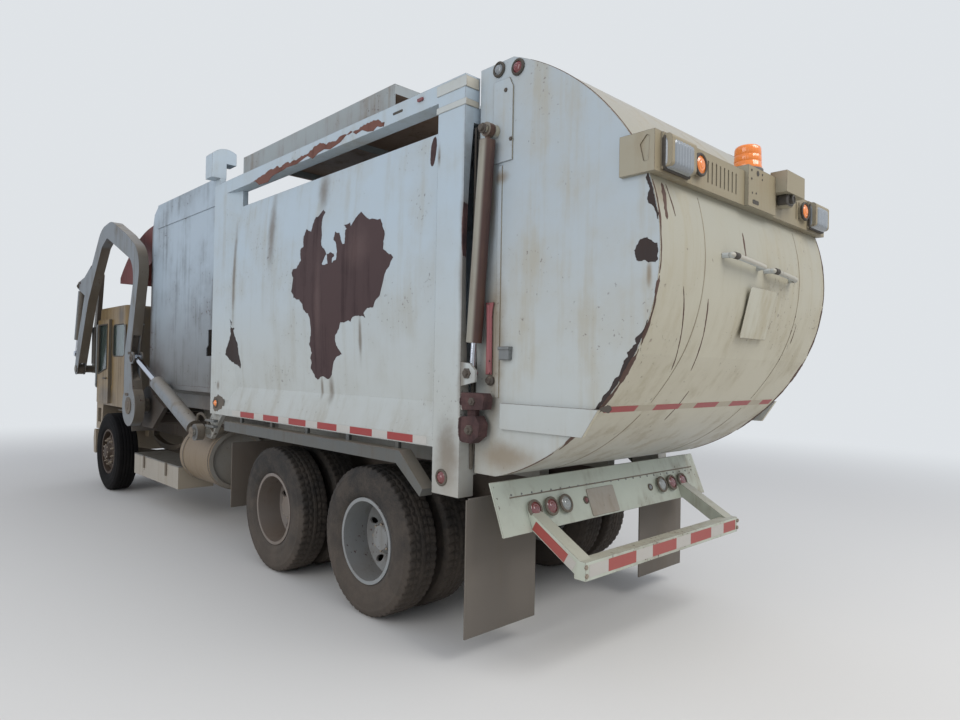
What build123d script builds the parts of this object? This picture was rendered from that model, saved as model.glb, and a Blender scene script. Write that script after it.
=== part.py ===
import os
from math import cos, hypot, radians, sin

from build123d import *

# Front-loading garbage truck: a tandem chassis with a low cab over the front axle, a hopper and a
# load body with a bulging top-hinged tailgate, and a pair of arms that swing over the cab.
# Millimetres, +X forward, +Y to the truck's left, +Z up, the ground at Z = 0.
# Lengths along the truck are stations, measured forward from the rearmost axle. st() turns a
# station into the model's X, whose zero is halfway between the truck's two ends.

# Reach of the truck from the rearmost axle
REAR_REACH = 2280       # back of the beacon box
FRONT_REACH = 7808      # nose of the fork cranks
MIDDLE = (FRONT_REACH - REAR_REACH) / 2

# Wheels and axles
TYRE_RADIUS = 518
TYRE_WIDTH = 270
BEAD_RADIUS = 285
FLANGE_RADIUS = 298
OUTER_SIDEWALL = 1220   # outer face of every outer tyre, from the middle of the truck
DUAL_SPACING = 330
TANDEM_SPACING = 1370
FRONT_AXLE = 6151
KINGPIN_OFFSET = 180    # kingpin inboard of the front wheel's middle
SPINDLE_RADIUS = 42
RUNNING_GAP = 0.3       # radial play of pins, spindles and bosses

# Chassis
RAIL_OUT = 430
RAIL_FLANGE = 90
RAIL_BOTTOM = 720
RAIL_TOP = 990
RAIL_WEB = 10
RAIL_REAR = -1140
RAIL_FRONT = 7080

# Load body and hopper
BODY_HALF = 1170        # posts and sill
WALL = 10
WALL_HALF = BODY_HALF - 65      # side wall at the kink and at its top edge
WALL_BOW = 45           # how far the side wall bulges at mid height
FLOOR_TOP = 1300
SUBFRAME_TOP = 1240
KINK_HEIGHT = 1515
SILL_TOP = 1300
SILL_BOTTOM = 1235
WALL_TOP = 3240
ROOF_CROWN = 50
SLIDE_LOW = 3394        # roof slide rail for the top door
SLIDE_HIGH = 3515
DOOR_PATH = SLIDE_HIGH + 205
HOOD_TOP = DOOR_PATH + 160
HOOD_LENGTH = 160
HOOD_LOW = SLIDE_HIGH + 65
SEAT_GAP = 0.5
SLIDE_IN = BODY_HALF - 120
DOOR_HALF = SLIDE_IN + 40
BODY_REAR = -930
REAR_POST = -680
POST_FRONT = 2800
POST_BACK = 2500
POST_FOOT = 2300
HOPPER_FRONT = 4800
HOPPER_HALF = BODY_HALF - 50
HOPPER_TOP = 3620
LEDGE_HEIGHT = 1445
BAND_LOW = 3340         # lower edge of the hopper's upper band
HOPPER_LOW_HALF = HOPPER_HALF - 120

# Tailgate
GATE_HALF = BODY_HALF - 110
GATE_SKIN = 12
GATE_FRONT = -950
GATE_HINGE = (-950, 3530)
GATE_TOP_PIN = (-1090, 3140)
GATE_LOW_PIN = (-985, 1700)
GATE_CYLINDER_Y = BODY_HALF - 42

# Arms and forks
ARM_CLEARANCE = 6       # arms clear of the body's posts
ARM_WIDTH = 114
ARM_IN = BODY_HALF + ARM_CLEARANCE
ARM_OUT = ARM_IN + ARM_WIDTH
CHEEK = 14
PIVOT_X = 5000
PIVOT_Z = 1200
TORQUE_TUBE_RADIUS = 90
LIFT_EYE = (4920, 1786)
LIFT_BASE = (2930, 1040)
LIFT_PIN_RADIUS = 30
FORK_PIVOT = (7550, 1620)
FORK_TUBE_RADIUS = 55
FORK_Y = ARM_IN - 146
FORK_TIP = (7300, 3050)
FORK_EYE = (7760, 1850)
FORK_CYLINDER_TOP = (7520, 2860)
FORK_PIN_RADIUS = 22

# Cab
CAB_REAR = 5740
CAB_FRONT = 7130
CAB_HALF = BODY_HALF - 70
CAB_FLOOR = 1120
CAB_ROOF = 2500
CAB_WALL = 40
CAB_CORNER = 170        # plan radius of the cab's rear corners


def st(station):
    """Model X of a station measured forward from the rearmost axle."""
    return station - MIDDLE


def block(x0, x1, y0, y1, z0, z1, mode=Mode.ADD):
    """A box by its limits: stations x0 to x1, then y and z."""
    with Locations(((st(x0) + st(x1)) / 2, (y0 + y1) / 2, (z0 + z1) / 2)):
        Box(x1 - x0, y1 - y0, z1 - z0, mode=mode)


def cross_bar(place, y0, y1, radius, mode=Mode.ADD):
    """A round bar across the truck at a place (station, z), from y0 to y1."""
    with Locations(Location((st(place[0]), (y0 + y1) / 2, place[1]), (90, 0, 0))):
        Cylinder(radius, y1 - y0, mode=mode)


def side_plate(outline, y0, y1, mode=Mode.ADD):
    """A plate between y0 and y1. Its outline is (station, z) corners, each with an optional
    third value, the radius that rounds it."""
    with BuildSketch(Plane.XZ.offset(-y1)) as face:
        with BuildLine():
            places = [(st(corner[0]), corner[1]) for corner in outline]
            if max(len(corner) for corner in outline) > 2:
                FilletPolyline(*places, radius=[corner[2] for corner in outline], close=True)
            else:
                Polyline(*places, close=True)
        make_face()
    extrude(face.sketch, amount=y1 - y0, mode=mode)


def spans(side, y0, y1):
    """The (low, high) y limits of a span y0 to y1 taken to one side of the truck."""
    return sorted((side * y0, side * y1))


def ring(place, outline, mode=Mode.ADD):
    """A turned piece about a cross axis at (station, z). Its outline is (y, radius) corners."""
    with BuildSketch(Plane.YZ.offset(st(place[0]))) as face:
        with BuildLine():
            Polyline(*[(y, place[1] + r) for y, r in outline], close=True)
        make_face()
    revolve(face.sketch, axis=Axis((st(place[0]), 0, place[1]), (0, 1, 0)), mode=mode)


def save(name, part):
    """Label a finished piece and write its STEP file."""
    part.label = name
    export_step(part, f"parts/{name}.step")


os.makedirs("parts", exist_ok=True)

# Frame: two channel rails with cross members, and the arms' cross beam with its bearing plates
CROSS_MEMBERS = (-1000, -320, 1900, 3300, 7000)
BEARING_OUT = ARM_IN - 106
BEARING_IN = BEARING_OUT - 50
BEARING_RADIUS = 235
with BuildPart() as chassis_frame:
    for side in (1, -1):
        with BuildSketch(Plane.YZ.offset(st(RAIL_REAR))) as channel:
            with BuildLine():
                out, lip = side * RAIL_OUT, side * (RAIL_OUT - RAIL_FLANGE)
                inner = side * (RAIL_OUT - RAIL_WEB)
                Polyline(
                    (out, RAIL_BOTTOM), (out, RAIL_TOP), (lip, RAIL_TOP),
                    (lip, RAIL_TOP - RAIL_WEB), (inner, RAIL_TOP - RAIL_WEB),
                    (inner, RAIL_BOTTOM + RAIL_WEB), (lip, RAIL_BOTTOM + RAIL_WEB),
                    (lip, RAIL_BOTTOM), close=True)
            make_face()
        extrude(channel.sketch, amount=RAIL_FRONT - RAIL_REAR)
    web = RAIL_OUT - RAIL_WEB / 2
    for station in CROSS_MEMBERS:
        block(station - 50, station + 50, -web, web, RAIL_BOTTOM + 40, RAIL_BOTTOM + 140)
    block(4850, 5150, -BEARING_OUT, BEARING_OUT, RAIL_TOP, PIVOT_Z - TORQUE_TUBE_RADIUS - 15)
    for side in (1, -1):
        low, high = spans(side, BEARING_IN, BEARING_OUT)
        cross_bar((PIVOT_X, PIVOT_Z), low, high, BEARING_RADIUS)
        side_plate([(4400, 1200), (4800, 925), (5180, 925), (5230, 1150), (5000, 1400)],
                   low, high)
        cross_bar((PIVOT_X, PIVOT_Z), low, high, TORQUE_TUBE_RADIUS + RUNNING_GAP,
                  mode=Mode.SUBTRACT)
save("chassis_frame", chassis_frame.part)

# Engine: one block at the real size and place, on two bearers between the rails under the cab
ENGINE_REAR, ENGINE_FRONT = 5350, 6650
ENGINE_LOW, ENGINE_HIGH = 760, 1075
ENGINE_HALF = 320
with BuildPart() as engine_block:
    block(ENGINE_REAR, ENGINE_FRONT, -ENGINE_HALF, ENGINE_HALF, ENGINE_LOW, ENGINE_HIGH)
    bearer = RAIL_OUT - RAIL_WEB
    for station in (5500, 6450):
        block(station - 40, station + 40, -bearer, bearer, 800, 840)
save("engine_block", engine_block.part)

# Driven axles: tubes with the differentials' bulges and the wheels' spindles, the shaft between
# them, and a walking beam under each rail with its pedestal
AXLE_TUBE = 65
DIFF_RADIUS = 190
BEAM_Y = 385
SHAFT_RADIUS = 45
with BuildPart() as drive_axles:
    for station in (0, TANDEM_SPACING):
        cross_bar((station, TYRE_RADIUS), -620, 620, AXLE_TUBE)
        cross_bar((station, TYRE_RADIUS), -1050, 1050, SPINDLE_RADIUS)
        with Locations(Location((st(station), 0, TYRE_RADIUS), (0, 90, 0))):
            Cylinder(DIFF_RADIUS, 230)
            Cone(DIFF_RADIUS - 20, 90, 330, align=(Align.CENTER, Align.CENTER, Align.MIN))
    with Locations(Location((st(TANDEM_SPACING / 2), 0, TYRE_RADIUS), (0, 90, 0))):
        Cylinder(SHAFT_RADIUS, TANDEM_SPACING)
    shaft_rear = TANDEM_SPACING + 250
    shaft_front = ENGINE_REAR - 12
    with Locations(Location((st((shaft_rear + shaft_front) / 2), 0, 700), (0, 84.2, 0))):
        Cylinder(SHAFT_RADIUS, shaft_front - shaft_rear)
    for side in (1, -1):
        low, high = spans(side, BEAM_Y - 44, BEAM_Y + 44)
        middle = TANDEM_SPACING / 2
        side_plate(
            [(-90, 390), (TANDEM_SPACING + 90, 390), (TANDEM_SPACING + 90, 470),
             (middle + 170, 540), (middle + 130, RAIL_BOTTOM), (middle - 130, RAIL_BOTTOM),
             (middle - 170, 540), (-90, 470)], low, high)
save("drive_axles", drive_axles.part)

# Front axle: a dropped beam with its kingpin eyes, and leaf springs up to the rails
FRONT_HUB_Y = OUTER_SIDEWALL - TYRE_WIDTH / 2
KINGPIN_Y = FRONT_HUB_Y - KINGPIN_OFFSET
KINGPIN_RADIUS = 22
EYE_RADIUS = 48
EYE_LOW, EYE_HIGH = 435, 600
SPRING_Y = 385
SPRING_REACH = 640
with BuildPart() as front_axle:
    with BuildSketch(Plane.YZ.offset(st(FRONT_AXLE - 45))) as beam:
        with BuildLine():
            Polyline(
                (-KINGPIN_Y, 560), (-KINGPIN_Y, 460), (-560, 400), (560, 400), (KINGPIN_Y, 460),
                (KINGPIN_Y, 560), (560, 490), (-560, 490), close=True)
        make_face()
    extrude(beam.sketch, amount=90)
    for side in (1, -1):
        with Locations((st(FRONT_AXLE), side * KINGPIN_Y, (EYE_LOW + EYE_HIGH) / 2)):
            Cylinder(EYE_RADIUS, EYE_HIGH - EYE_LOW)
            Cylinder(KINGPIN_RADIUS + RUNNING_GAP, EYE_HIGH - EYE_LOW, mode=Mode.SUBTRACT)
        with BuildSketch(Plane.XZ.offset(-(side * SPRING_Y + 40))) as leaf:
            with BuildLine():
                rear, front = st(FRONT_AXLE - SPRING_REACH), st(FRONT_AXLE + SPRING_REACH)
                ThreePointArc((rear, 665), (st(FRONT_AXLE), 560), (front, 665))
                Line((front, 665), (front, 640))
                ThreePointArc((front, 640), (st(FRONT_AXLE), 480), (rear, 640))
                Line((rear, 640), (rear, 665))
            make_face()
        extrude(leaf.sketch, amount=80)
        for end in (-1, 1):
            x = FRONT_AXLE + end * (SPRING_REACH - 30)
            block(x - 30, x + 30, side * SPRING_Y - 40, side * SPRING_Y + 40, 645, RAIL_BOTTOM)
save("front_axle", front_axle.part)

# Steering knuckles: two ears round the beam's eye, the kingpin between them and the spindle
for name, side in (("knuckle_left", 1), ("knuckle_right", -1)):
    with BuildPart() as knuckle:
        low, high = spans(side, KINGPIN_Y - 45, KINGPIN_Y + 110)
        back_low, back_high = spans(side, KINGPIN_Y + 60, KINGPIN_Y + 110)
        rear, front = FRONT_AXLE - 45, FRONT_AXLE + 45
        block(rear, front, low, high, EYE_HIGH + 6, EYE_HIGH + 40)
        block(rear, front, low, high, EYE_LOW - 40, EYE_LOW - 6)
        block(rear, front, back_low, back_high, EYE_LOW - 40, EYE_HIGH + 40)
        with Locations((st(FRONT_AXLE), side * KINGPIN_Y, (EYE_LOW + EYE_HIGH) / 2)):
            Cylinder(KINGPIN_RADIUS, EYE_HIGH - EYE_LOW + 20)
        pin_low, pin_high = spans(side, KINGPIN_Y + 100, KINGPIN_Y + 270)
        cross_bar((FRONT_AXLE, TYRE_RADIUS), pin_low, pin_high, SPINDLE_RADIUS)
    save(name, knuckle.part)

SEAT = BEAD_RADIUS - RUNNING_GAP
BARREL = 272
BORE = SPINDLE_RADIUS + RUNNING_GAP
HALF_TYRE = TYRE_WIDTH / 2
# Turned outlines, as (y from the wheel's middle or from the twin's middle, radius)
TYRE_SECTION = [(-95, BEAD_RADIUS), (-HALF_TYRE, 400), (-HALF_TYRE + 25, TYRE_RADIUS - 10),
                (-HALF_TYRE + 45, TYRE_RADIUS), (HALF_TYRE - 45, TYRE_RADIUS),
                (HALF_TYRE - 25, TYRE_RADIUS - 10), (HALF_TYRE, 400), (95, BEAD_RADIUS)]
RIM_BARREL = [(-112, BARREL), (-112, FLANGE_RADIUS), (-101, FLANGE_RADIUS), (-101, SEAT),
              (101, SEAT), (101, FLANGE_RADIUS), (112, FLANGE_RADIUS), (112, BARREL)]
FRONT_DISC = [(20, 274), (34, 274), (62, 235), (96, 150), (96, 60), (82, 60), (82, 146),
              (48, 228)]
FRONT_HUB = [(-60, 0), (-60, 110), (90, 112), (140, 95), (150, 60), (150, 0)]
FRONT_DRUM = [(-85, 205), (30, 205), (30, 100), (18, 100), (18, 193), (-85, 193)]
TWIN_DISC_OUT = [(62, 274), (78, 274), (38, 215), (13, 195), (13, 60), (-1, 60), (-1, 198),
                 (24, 220)]
TWIN_DISC_IN = [(-62, 274), (-78, 274), (-38, 215), (-13, 195), (-13, 60), (0, 60), (0, 198),
                (-24, 220)]
TWIN_HUB = [(-185, 0), (-185, 105), (105, 115), (150, 85), (150, 0)]
TWIN_DRUM = [(-195, 205), (-40, 205), (-40, 90), (-52, 90), (-52, 193), (-195, 193)]
SPINDLE_BORE = {"front": 95, "middle": 135, "rear": 135}
AXLE_STATION = {"front": FRONT_AXLE, "middle": TANDEM_SPACING, "rear": 0}
HAND_HOLES = 5
HAND_HOLE_RADIUS = 24
HAND_HOLE_PITCH = {"front": 203, "middle": 233, "rear": 233}
HAND_HOLE_DEPTH = {"front": (35, 110), "middle": (-90, 90), "rear": (-90, 90)}
for wheel in ("front", "middle", "rear"):
    place = (AXLE_STATION[wheel], TYRE_RADIUS)
    twin = wheel != "front"
    for side_name, side in (("left", 1), ("right", -1)):
        offsets = (0, DUAL_SPACING) if twin else (0,)
        face = FRONT_HUB_Y - (DUAL_SPACING / 2 if twin else 0)
        discs = (TWIN_DISC_OUT, TWIN_DISC_IN, TWIN_HUB, TWIN_DRUM) if twin else (
            FRONT_DISC, FRONT_HUB, FRONT_DRUM)
        with BuildPart() as tyres:
            for offset in offsets:
                middle = FRONT_HUB_Y - offset
                ring(place, [(side * middle + dy, r) for dy, r in TYRE_SECTION])
        save(f"tyre_{wheel}_{side_name}", tyres.part)
        with BuildPart() as rims:
            for offset in offsets:
                middle = FRONT_HUB_Y - offset
                ring(place, [(side * middle + dy, r) for dy, r in RIM_BARREL])
            for outline in discs:
                ring(place, [(side * (face + dy), r) for dy, r in outline])
            low, high = spans(side, face - 250, face + SPINDLE_BORE[wheel])
            cross_bar(place, low, high, BORE, mode=Mode.SUBTRACT)
            low, high = spans(side, face + HAND_HOLE_DEPTH[wheel][0],
                              face + HAND_HOLE_DEPTH[wheel][1])
            for turn in range(HAND_HOLES):
                angle = radians(90 + 360 * turn / HAND_HOLES)
                pitch = HAND_HOLE_PITCH[wheel]
                cross_bar((place[0] + pitch * cos(angle), place[1] + pitch * sin(angle)),
                          low, high, HAND_HOLE_RADIUS, mode=Mode.SUBTRACT)
        save(f"rim_{wheel}_{side_name}", rims.part)

# Side tanks: a round tank under each side behind the cab, in two straps, with its rail brackets
TANK_RADIUS = 312
TANK_Z = 742
TANK_Y = BODY_HALF - 5 - TANK_RADIUS
TANK_REAR, TANK_FRONT = 2830, 3630
TANK_STRAPS = (2890, 3565)
TANK_DISH = 25          # depth of the tank's rear end inside its rolled edge
with BuildPart() as side_tanks:
    for side in (1, -1):
        with Locations(Location((st(TANK_REAR), side * TANK_Y, TANK_Z), (0, 90, 0))):
            Cylinder(TANK_RADIUS - 8, TANK_FRONT - TANK_REAR,
                     align=(Align.CENTER, Align.CENTER, Align.MIN))
            Cylinder(TANK_RADIUS - 50, TANK_DISH, mode=Mode.SUBTRACT,
                     align=(Align.CENTER, Align.CENTER, Align.MIN))
        low, high = spans(side, RAIL_OUT, TANK_Y - 200)
        for station in TANK_STRAPS:
            with Locations(Location((st(station), side * TANK_Y, TANK_Z), (0, 90, 0))):
                Cylinder(TANK_RADIUS, 60)
            block(station - 40, station + 40, low, high, RAIL_BOTTOM - 60, RAIL_TOP - 60)
save("side_tanks", side_tanks.part)

# Battery box: a low long box hung under the left rail between the tank and the front wheel
BATTERY_REAR, BATTERY_FRONT = TANK_FRONT + 50, 5180
with BuildPart() as battery_box:
    block(BATTERY_REAR, BATTERY_FRONT, 760, 1150, 345, 585)
    for station in (BATTERY_REAR + 170, BATTERY_FRONT - 480):
        block(station - 30, station + 30, RAIL_OUT, 800, 400, 460)
        block(station - 30, station + 30, RAIL_OUT, RAIL_OUT + 60, 400, RAIL_TOP - 60)
save("battery_box", battery_box.part)


def body_outline(inset, floor):
    """Cross section of the load body: bowed side walls and a crowned roof."""
    half, top = WALL_HALF - inset, WALL_TOP - inset
    bow, waist = half + WALL_BOW, (KINK_HEIGHT + WALL_TOP) / 2
    with BuildLine() as edge:
        Polyline((half, KINK_HEIGHT), (half, floor), (-half, floor), (-half, KINK_HEIGHT))
        ThreePointArc((-half, KINK_HEIGHT), (-bow, waist), (-half, top))
        ThreePointArc((-half, top), (0, top + ROOF_CROWN), (half, top))
        ThreePointArc((half, top), (bow, waist), (half, KINK_HEIGHT))
    return edge.edges()


# Load body: bowed walls, a crowned roof, a floor on two long members, a post at each corner and
# the slide rails of the top door above an open strip
with BuildPart() as load_body:
    with BuildSketch(Plane.YZ.offset(st(BODY_REAR))) as shell:
        make_face(body_outline(0, SILL_BOTTOM))
    extrude(shell.sketch, amount=POST_FRONT - BODY_REAR)
    for side in (1, -1):
        with BuildSketch(Plane.YZ.offset(st(REAR_POST))) as flare:
            with BuildLine():
                Polyline((side * SLIDE_IN, KINK_HEIGHT), (side * WALL_HALF, KINK_HEIGHT),
                         (side * BODY_HALF, SILL_TOP), (side * BODY_HALF, SILL_BOTTOM),
                         (side * SLIDE_IN, SILL_BOTTOM), close=True)
            make_face()
        extrude(flare.sketch, amount=POST_FRONT - REAR_POST)
        with BuildSketch(Plane.XY.offset(SILL_BOTTOM)) as post:
            with BuildLine():
                Polyline((st(POST_FRONT), side * BODY_HALF), (st(POST_BACK), side * BODY_HALF),
                         (st(POST_FOOT), side * (WALL_HALF - WALL / 2)),
                         (st(POST_FOOT), side * SLIDE_IN), (st(POST_FRONT), side * SLIDE_IN),
                         close=True)
            make_face()
        extrude(post.sketch, amount=SLIDE_HIGH - SILL_BOTTOM)
        low, high = spans(side, SLIDE_IN, BODY_HALF)
        block(BODY_REAR, REAR_POST, low, high, 950, SLIDE_HIGH)
        block(REAR_POST, POST_FRONT, low, high, SLIDE_LOW, SLIDE_HIGH)
    block(BODY_REAR, REAR_POST, -SLIDE_IN, SLIDE_IN, WALL_TOP - 20, 3330)
    block(BODY_REAR, REAR_POST, -BODY_HALF, BODY_HALF, 1080, SILL_BOTTOM + 1)
    with BuildSketch(Plane.YZ.offset(st(BODY_REAR) - 10)) as space:
        make_face(body_outline(WALL, FLOOR_TOP))
    extrude(space.sketch, amount=POST_FRONT - BODY_REAR + 20, mode=Mode.SUBTRACT)
    for side in (1, -1):
        # long member on the chassis rail
        low, high = spans(side, RAIL_OUT - RAIL_FLANGE, RAIL_OUT)
        block(BODY_REAR, POST_FRONT, low, high, RAIL_TOP, SUBFRAME_TOP)
        # lug and pin of the lift cylinder on the front post's foot
        low, high = spans(side, BODY_HALF - 85, BODY_HALF - 45)
        side_plate([(POST_FRONT - 200, SUBFRAME_TOP), (POST_FRONT - 20, 1300),
                    (LIFT_BASE[0] + 70, 1100), (LIFT_BASE[0] + 60, 980),
                    (LIFT_BASE[0] - 60, 970)], low, high)
        low, high = spans(side, BODY_HALF - 85, ARM_OUT + 14)
        cross_bar(LIFT_BASE, low, high, LIFT_PIN_RADIUS)
        # outer lug of the tailgate cylinder's foot, behind the rear post
        x, z = GATE_LOW_PIN
        low, high = spans(side, GATE_CYLINDER_Y + 24, GATE_CYLINDER_Y + 40)
        side_plate([(BODY_REAR + 10, z - 80), (BODY_REAR + 10, z + 70), (x - 20, z + 60),
                    (x - 70, z + 20), (x - 70, z - 50)], low, high)
        # lock of the tailgate: a clamp on the post over a turnbuckle's two blocks
        low, high = spans(side, BODY_HALF - 78, BODY_HALF - 5)
        side_plate([(BODY_REAR + 10, 1585), (-1110, 1585), (-1130, 1560), (-1120, 1490),
                    (BODY_REAR + 10, 1480)], low, high)
        side_plate([(BODY_REAR + 10, 1440), (-1060, 1450), (-1095, 1400), (-1085, 1330),
                    (-1020, 1285), (BODY_REAR + 10, 1290)], low, high)
        low, high = spans(side, BODY_HALF - 58, BODY_HALF - 25)
        side_plate([(-970, 1430), (-1040, 1430), (-1040, 1500), (-970, 1500)], low, high)
        # hinge block of the tailgate on the rear frame's head
        for y0, y1 in ((650, 690), (770, 810)):
            low, high = spans(side, y0, y1)
            x, z = GATE_HINGE
            side_plate([(REAR_POST, 3320), (REAR_POST, 3480), (x + 60, z + 70),
                        (x - 60, z + 70), (x - 60, z - 50), (BODY_REAR + 10, 3320)], low, high)
        low, high = spans(side, 650, 810)
        cross_bar(GATE_HINGE, low, high, 25)
        # guard over the front end of the slide rail, its hood above the top door's path
        low, high = spans(side, SLIDE_IN + 55, BODY_HALF - 8)
        block(POST_FRONT - 100, POST_FRONT, low, high, SLIDE_HIGH - 10, HOOD_LOW - SEAT_GAP)
        with BuildSketch(Plane.YZ.offset(st(POST_FRONT - 100))) as hood:
            outer, lid = side * (BODY_HALF + 75), side * (DOOR_HALF + 10)
            inner = side * (DOOR_HALF - 90)
            with BuildLine():
                Polyline((inner, HOOD_TOP - 30), (inner, DOOR_PATH + 15), (lid, DOOR_PATH + 15),
                         (lid, HOOD_LOW), (outer, HOOD_LOW), (outer, HOOD_TOP - 70))
                ThreePointArc((outer, HOOD_TOP - 70), ((inner + outer) / 2, HOOD_TOP),
                              (inner, HOOD_TOP - 30))
            make_face()
        extrude(hood.sketch, amount=HOOD_LENGTH)
        low, high = spans(side, DOOR_HALF, HOPPER_HALF + 30)
        block(POST_FRONT, POST_FRONT - 100 + HOOD_LENGTH, low, high, SLIDE_HIGH, HOPPER_TOP + 8,
              mode=Mode.SUBTRACT)
save("load_body", load_body.part)

# Hopper: open topped, narrowed below a ledge, with slide rails inside its rim
with BuildPart() as hopper:
    with BuildSketch(Plane.YZ.offset(st(POST_FRONT))) as trough:
        with BuildLine():
            Polyline((HOPPER_LOW_HALF, SILL_BOTTOM), (HOPPER_LOW_HALF, LEDGE_HEIGHT - 60),
                     (HOPPER_HALF, LEDGE_HEIGHT), (HOPPER_HALF, HOPPER_TOP),
                     (-HOPPER_HALF, HOPPER_TOP), (-HOPPER_HALF, LEDGE_HEIGHT),
                     (-HOPPER_LOW_HALF, LEDGE_HEIGHT - 60), (-HOPPER_LOW_HALF, SILL_BOTTOM),
                     close=True)
        make_face()
    extrude(trough.sketch, amount=HOPPER_FRONT - POST_FRONT)
    inner = HOPPER_HALF - WALL
    low_inner = HOPPER_LOW_HALF - WALL
    block(POST_FRONT - 10, HOPPER_FRONT - WALL, -inner, inner, LEDGE_HEIGHT + 10,
          HOPPER_TOP + 10, mode=Mode.SUBTRACT)
    block(POST_FRONT - 10, HOPPER_FRONT - WALL, -low_inner, low_inner, FLOOR_TOP,
          LEDGE_HEIGHT + 20, mode=Mode.SUBTRACT)
    for side in (1, -1):
        low, high = spans(side, RAIL_OUT - RAIL_FLANGE, RAIL_OUT)
        block(POST_FRONT, 4840, low, high, RAIL_TOP, SUBFRAME_TOP)
        low, high = spans(side, SLIDE_IN, inner + 5)
        block(POST_FRONT, HOPPER_FRONT - WALL, low, high, SLIDE_HIGH - 60, SLIDE_HIGH)
    side_plate([(HOPPER_FRONT + 10, HOPPER_TOP - 320), (HOPPER_FRONT, HOPPER_TOP - 290),
                (HOPPER_FRONT - 60, HOPPER_TOP - 90),
                (HOPPER_FRONT - 200, HOPPER_TOP), (HOPPER_FRONT - 200, HOPPER_TOP + 20),
                (HOPPER_FRONT + 10, HOPPER_TOP + 20)], -HOPPER_HALF - 10, HOPPER_HALF + 10,
               mode=Mode.SUBTRACT)
    for side in (1, -1):
        low, high = spans(side, HOPPER_HALF - 1, HOPPER_HALF + 8)
        block(POST_FRONT, HOPPER_FRONT - 200, low, high, BAND_LOW, HOPPER_TOP)
        low, high = spans(side, HOPPER_HALF - 1, HOPPER_HALF + 12)
        block(POST_FRONT, HOPPER_FRONT - 600, low, high, LEDGE_HEIGHT - 10, LEDGE_HEIGHT + 40)
    side_plate([(2910, 1810), (3060, 1810), (3060, 1890), (3020, 1920), (3020, 2080),
                (2910, 2080)], inner - 5, HOPPER_HALF + 5, mode=Mode.SUBTRACT)
save("hopper", hopper.part)

# Packer blade: a box with a sloping back that slides on the floor, from the hopper's front end
BLADE_FACE, BLADE_BACK, BLADE_TOP = 4230, 4760, 2350
BLADE_GAP = 14
with BuildPart() as packer_blade:
    side_plate([(BLADE_FACE, FLOOR_TOP + 10), (BLADE_BACK, FLOOR_TOP + 10),
                (BLADE_BACK, FLOOR_TOP + 500), (BLADE_FACE + 180, BLADE_TOP),
                (BLADE_FACE, BLADE_TOP)], -low_inner + BLADE_GAP, low_inner - BLADE_GAP)
    blade_half = WALL_HALF - WALL - BLADE_GAP
    block(BLADE_FACE, BLADE_FACE + 60, -blade_half, blade_half, LEDGE_HEIGHT + 25, BLADE_TOP)
    for side in (1, -1):
        low, high = spans(side, 600, 700)
        block(BLADE_FACE + 40, BLADE_BACK - 60, low, high, FLOOR_TOP + RUNNING_GAP,
              FLOOR_TOP + 10)
save("packer_blade", packer_blade.part)

# Top door: a shallow lid with side skirts that run on the slide rails
DOOR_SKIN = 8
DOOR_REAR, DOOR_FRONT = -100, 2330
DOOR_TOP = DOOR_PATH
with BuildPart() as top_door:
    block(DOOR_REAR, DOOR_FRONT, -DOOR_HALF, DOOR_HALF, DOOR_TOP - DOOR_SKIN, DOOR_TOP)
    for side in (1, -1):
        low, high = spans(side, DOOR_HALF - DOOR_SKIN, DOOR_HALF)
        block(DOOR_REAR, DOOR_FRONT, low, high, SLIDE_HIGH + RUNNING_GAP, DOOR_TOP)
    for station in (DOOR_REAR, (DOOR_REAR + DOOR_FRONT) / 2, DOOR_FRONT - 40):
        block(station, station + 40, -DOOR_HALF, DOOR_HALF, DOOR_TOP - 70, DOOR_TOP)
save("top_door", top_door.part)

# Shield over the cab: a curved plate about the arms' pivot with two cheeks, on the hopper's front
SHIELD_RADIUS = HOPPER_TOP - PIVOT_Z - 135
SHIELD_HALF = HOPPER_HALF - 120
SHIELD_LOW = 2790
SHIELD_PLATE = 10


def about_pivot(radius, degrees):
    """Model (x, z) of a point at a radius and angle about the arms' pivot."""
    return (st(PIVOT_X) + radius * cos(radians(degrees)),
            PIVOT_Z + radius * sin(radians(degrees)))


with BuildPart() as cab_shield:
    for mode, inset in ((Mode.ADD, 0), (Mode.SUBTRACT, SHIELD_PLATE)):
        tip = about_pivot(SHIELD_RADIUS - inset, 49)
        crown = about_pivot(SHIELD_RADIUS - inset, 70)
        root = about_pivot(SHIELD_RADIUS - inset, 92)
        back = HOPPER_FRONT if mode == Mode.ADD else HOPPER_FRONT - 20
        drop = 0 if mode == Mode.ADD else 200
        with BuildSketch(Plane.XZ.offset(-(SHIELD_HALF - inset))) as cheek:
            with BuildLine():
                ThreePointArc(root, crown, tip)
                Polyline(tip, (tip[0] + inset * 2, tip[1] - drop - 80), (st(5860), SHIELD_LOW - drop),
                         (st(back), HOPPER_TOP - 470 - drop), (st(back), HOPPER_TOP - 60 - inset),
                         root)
            make_face()
        extrude(cheek.sketch, amount=2 * (SHIELD_HALF - inset), mode=mode)
save("cab_shield", cab_shield.part)


def gate_outline(grow):
    """Side view of the bulging tailgate, grown outward by a margin."""
    top, low = 3555 + grow, 1095 - grow
    front = st(GATE_FRONT - max(0, -grow))
    shoulder = (st(-1225), top)
    upper = (st(-2075 - grow), 2840)
    lower = (st(-2080 - grow), 1815)
    toe = (st(-1130), low)
    with BuildLine() as edge:
        Line((front, top), shoulder)
        ThreePointArc(shoulder, (st(-1720) - grow * 0.7, 3255 + grow * 0.7), upper)
        ThreePointArc(upper, (st(-2208 - grow), 2330), lower)
        ThreePointArc(lower, (st(-1700) - grow * 0.7, 1375 - grow * 0.7), toe)
        Polyline(toe, (front, low), (front, top))
    return edge.edges()


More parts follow.
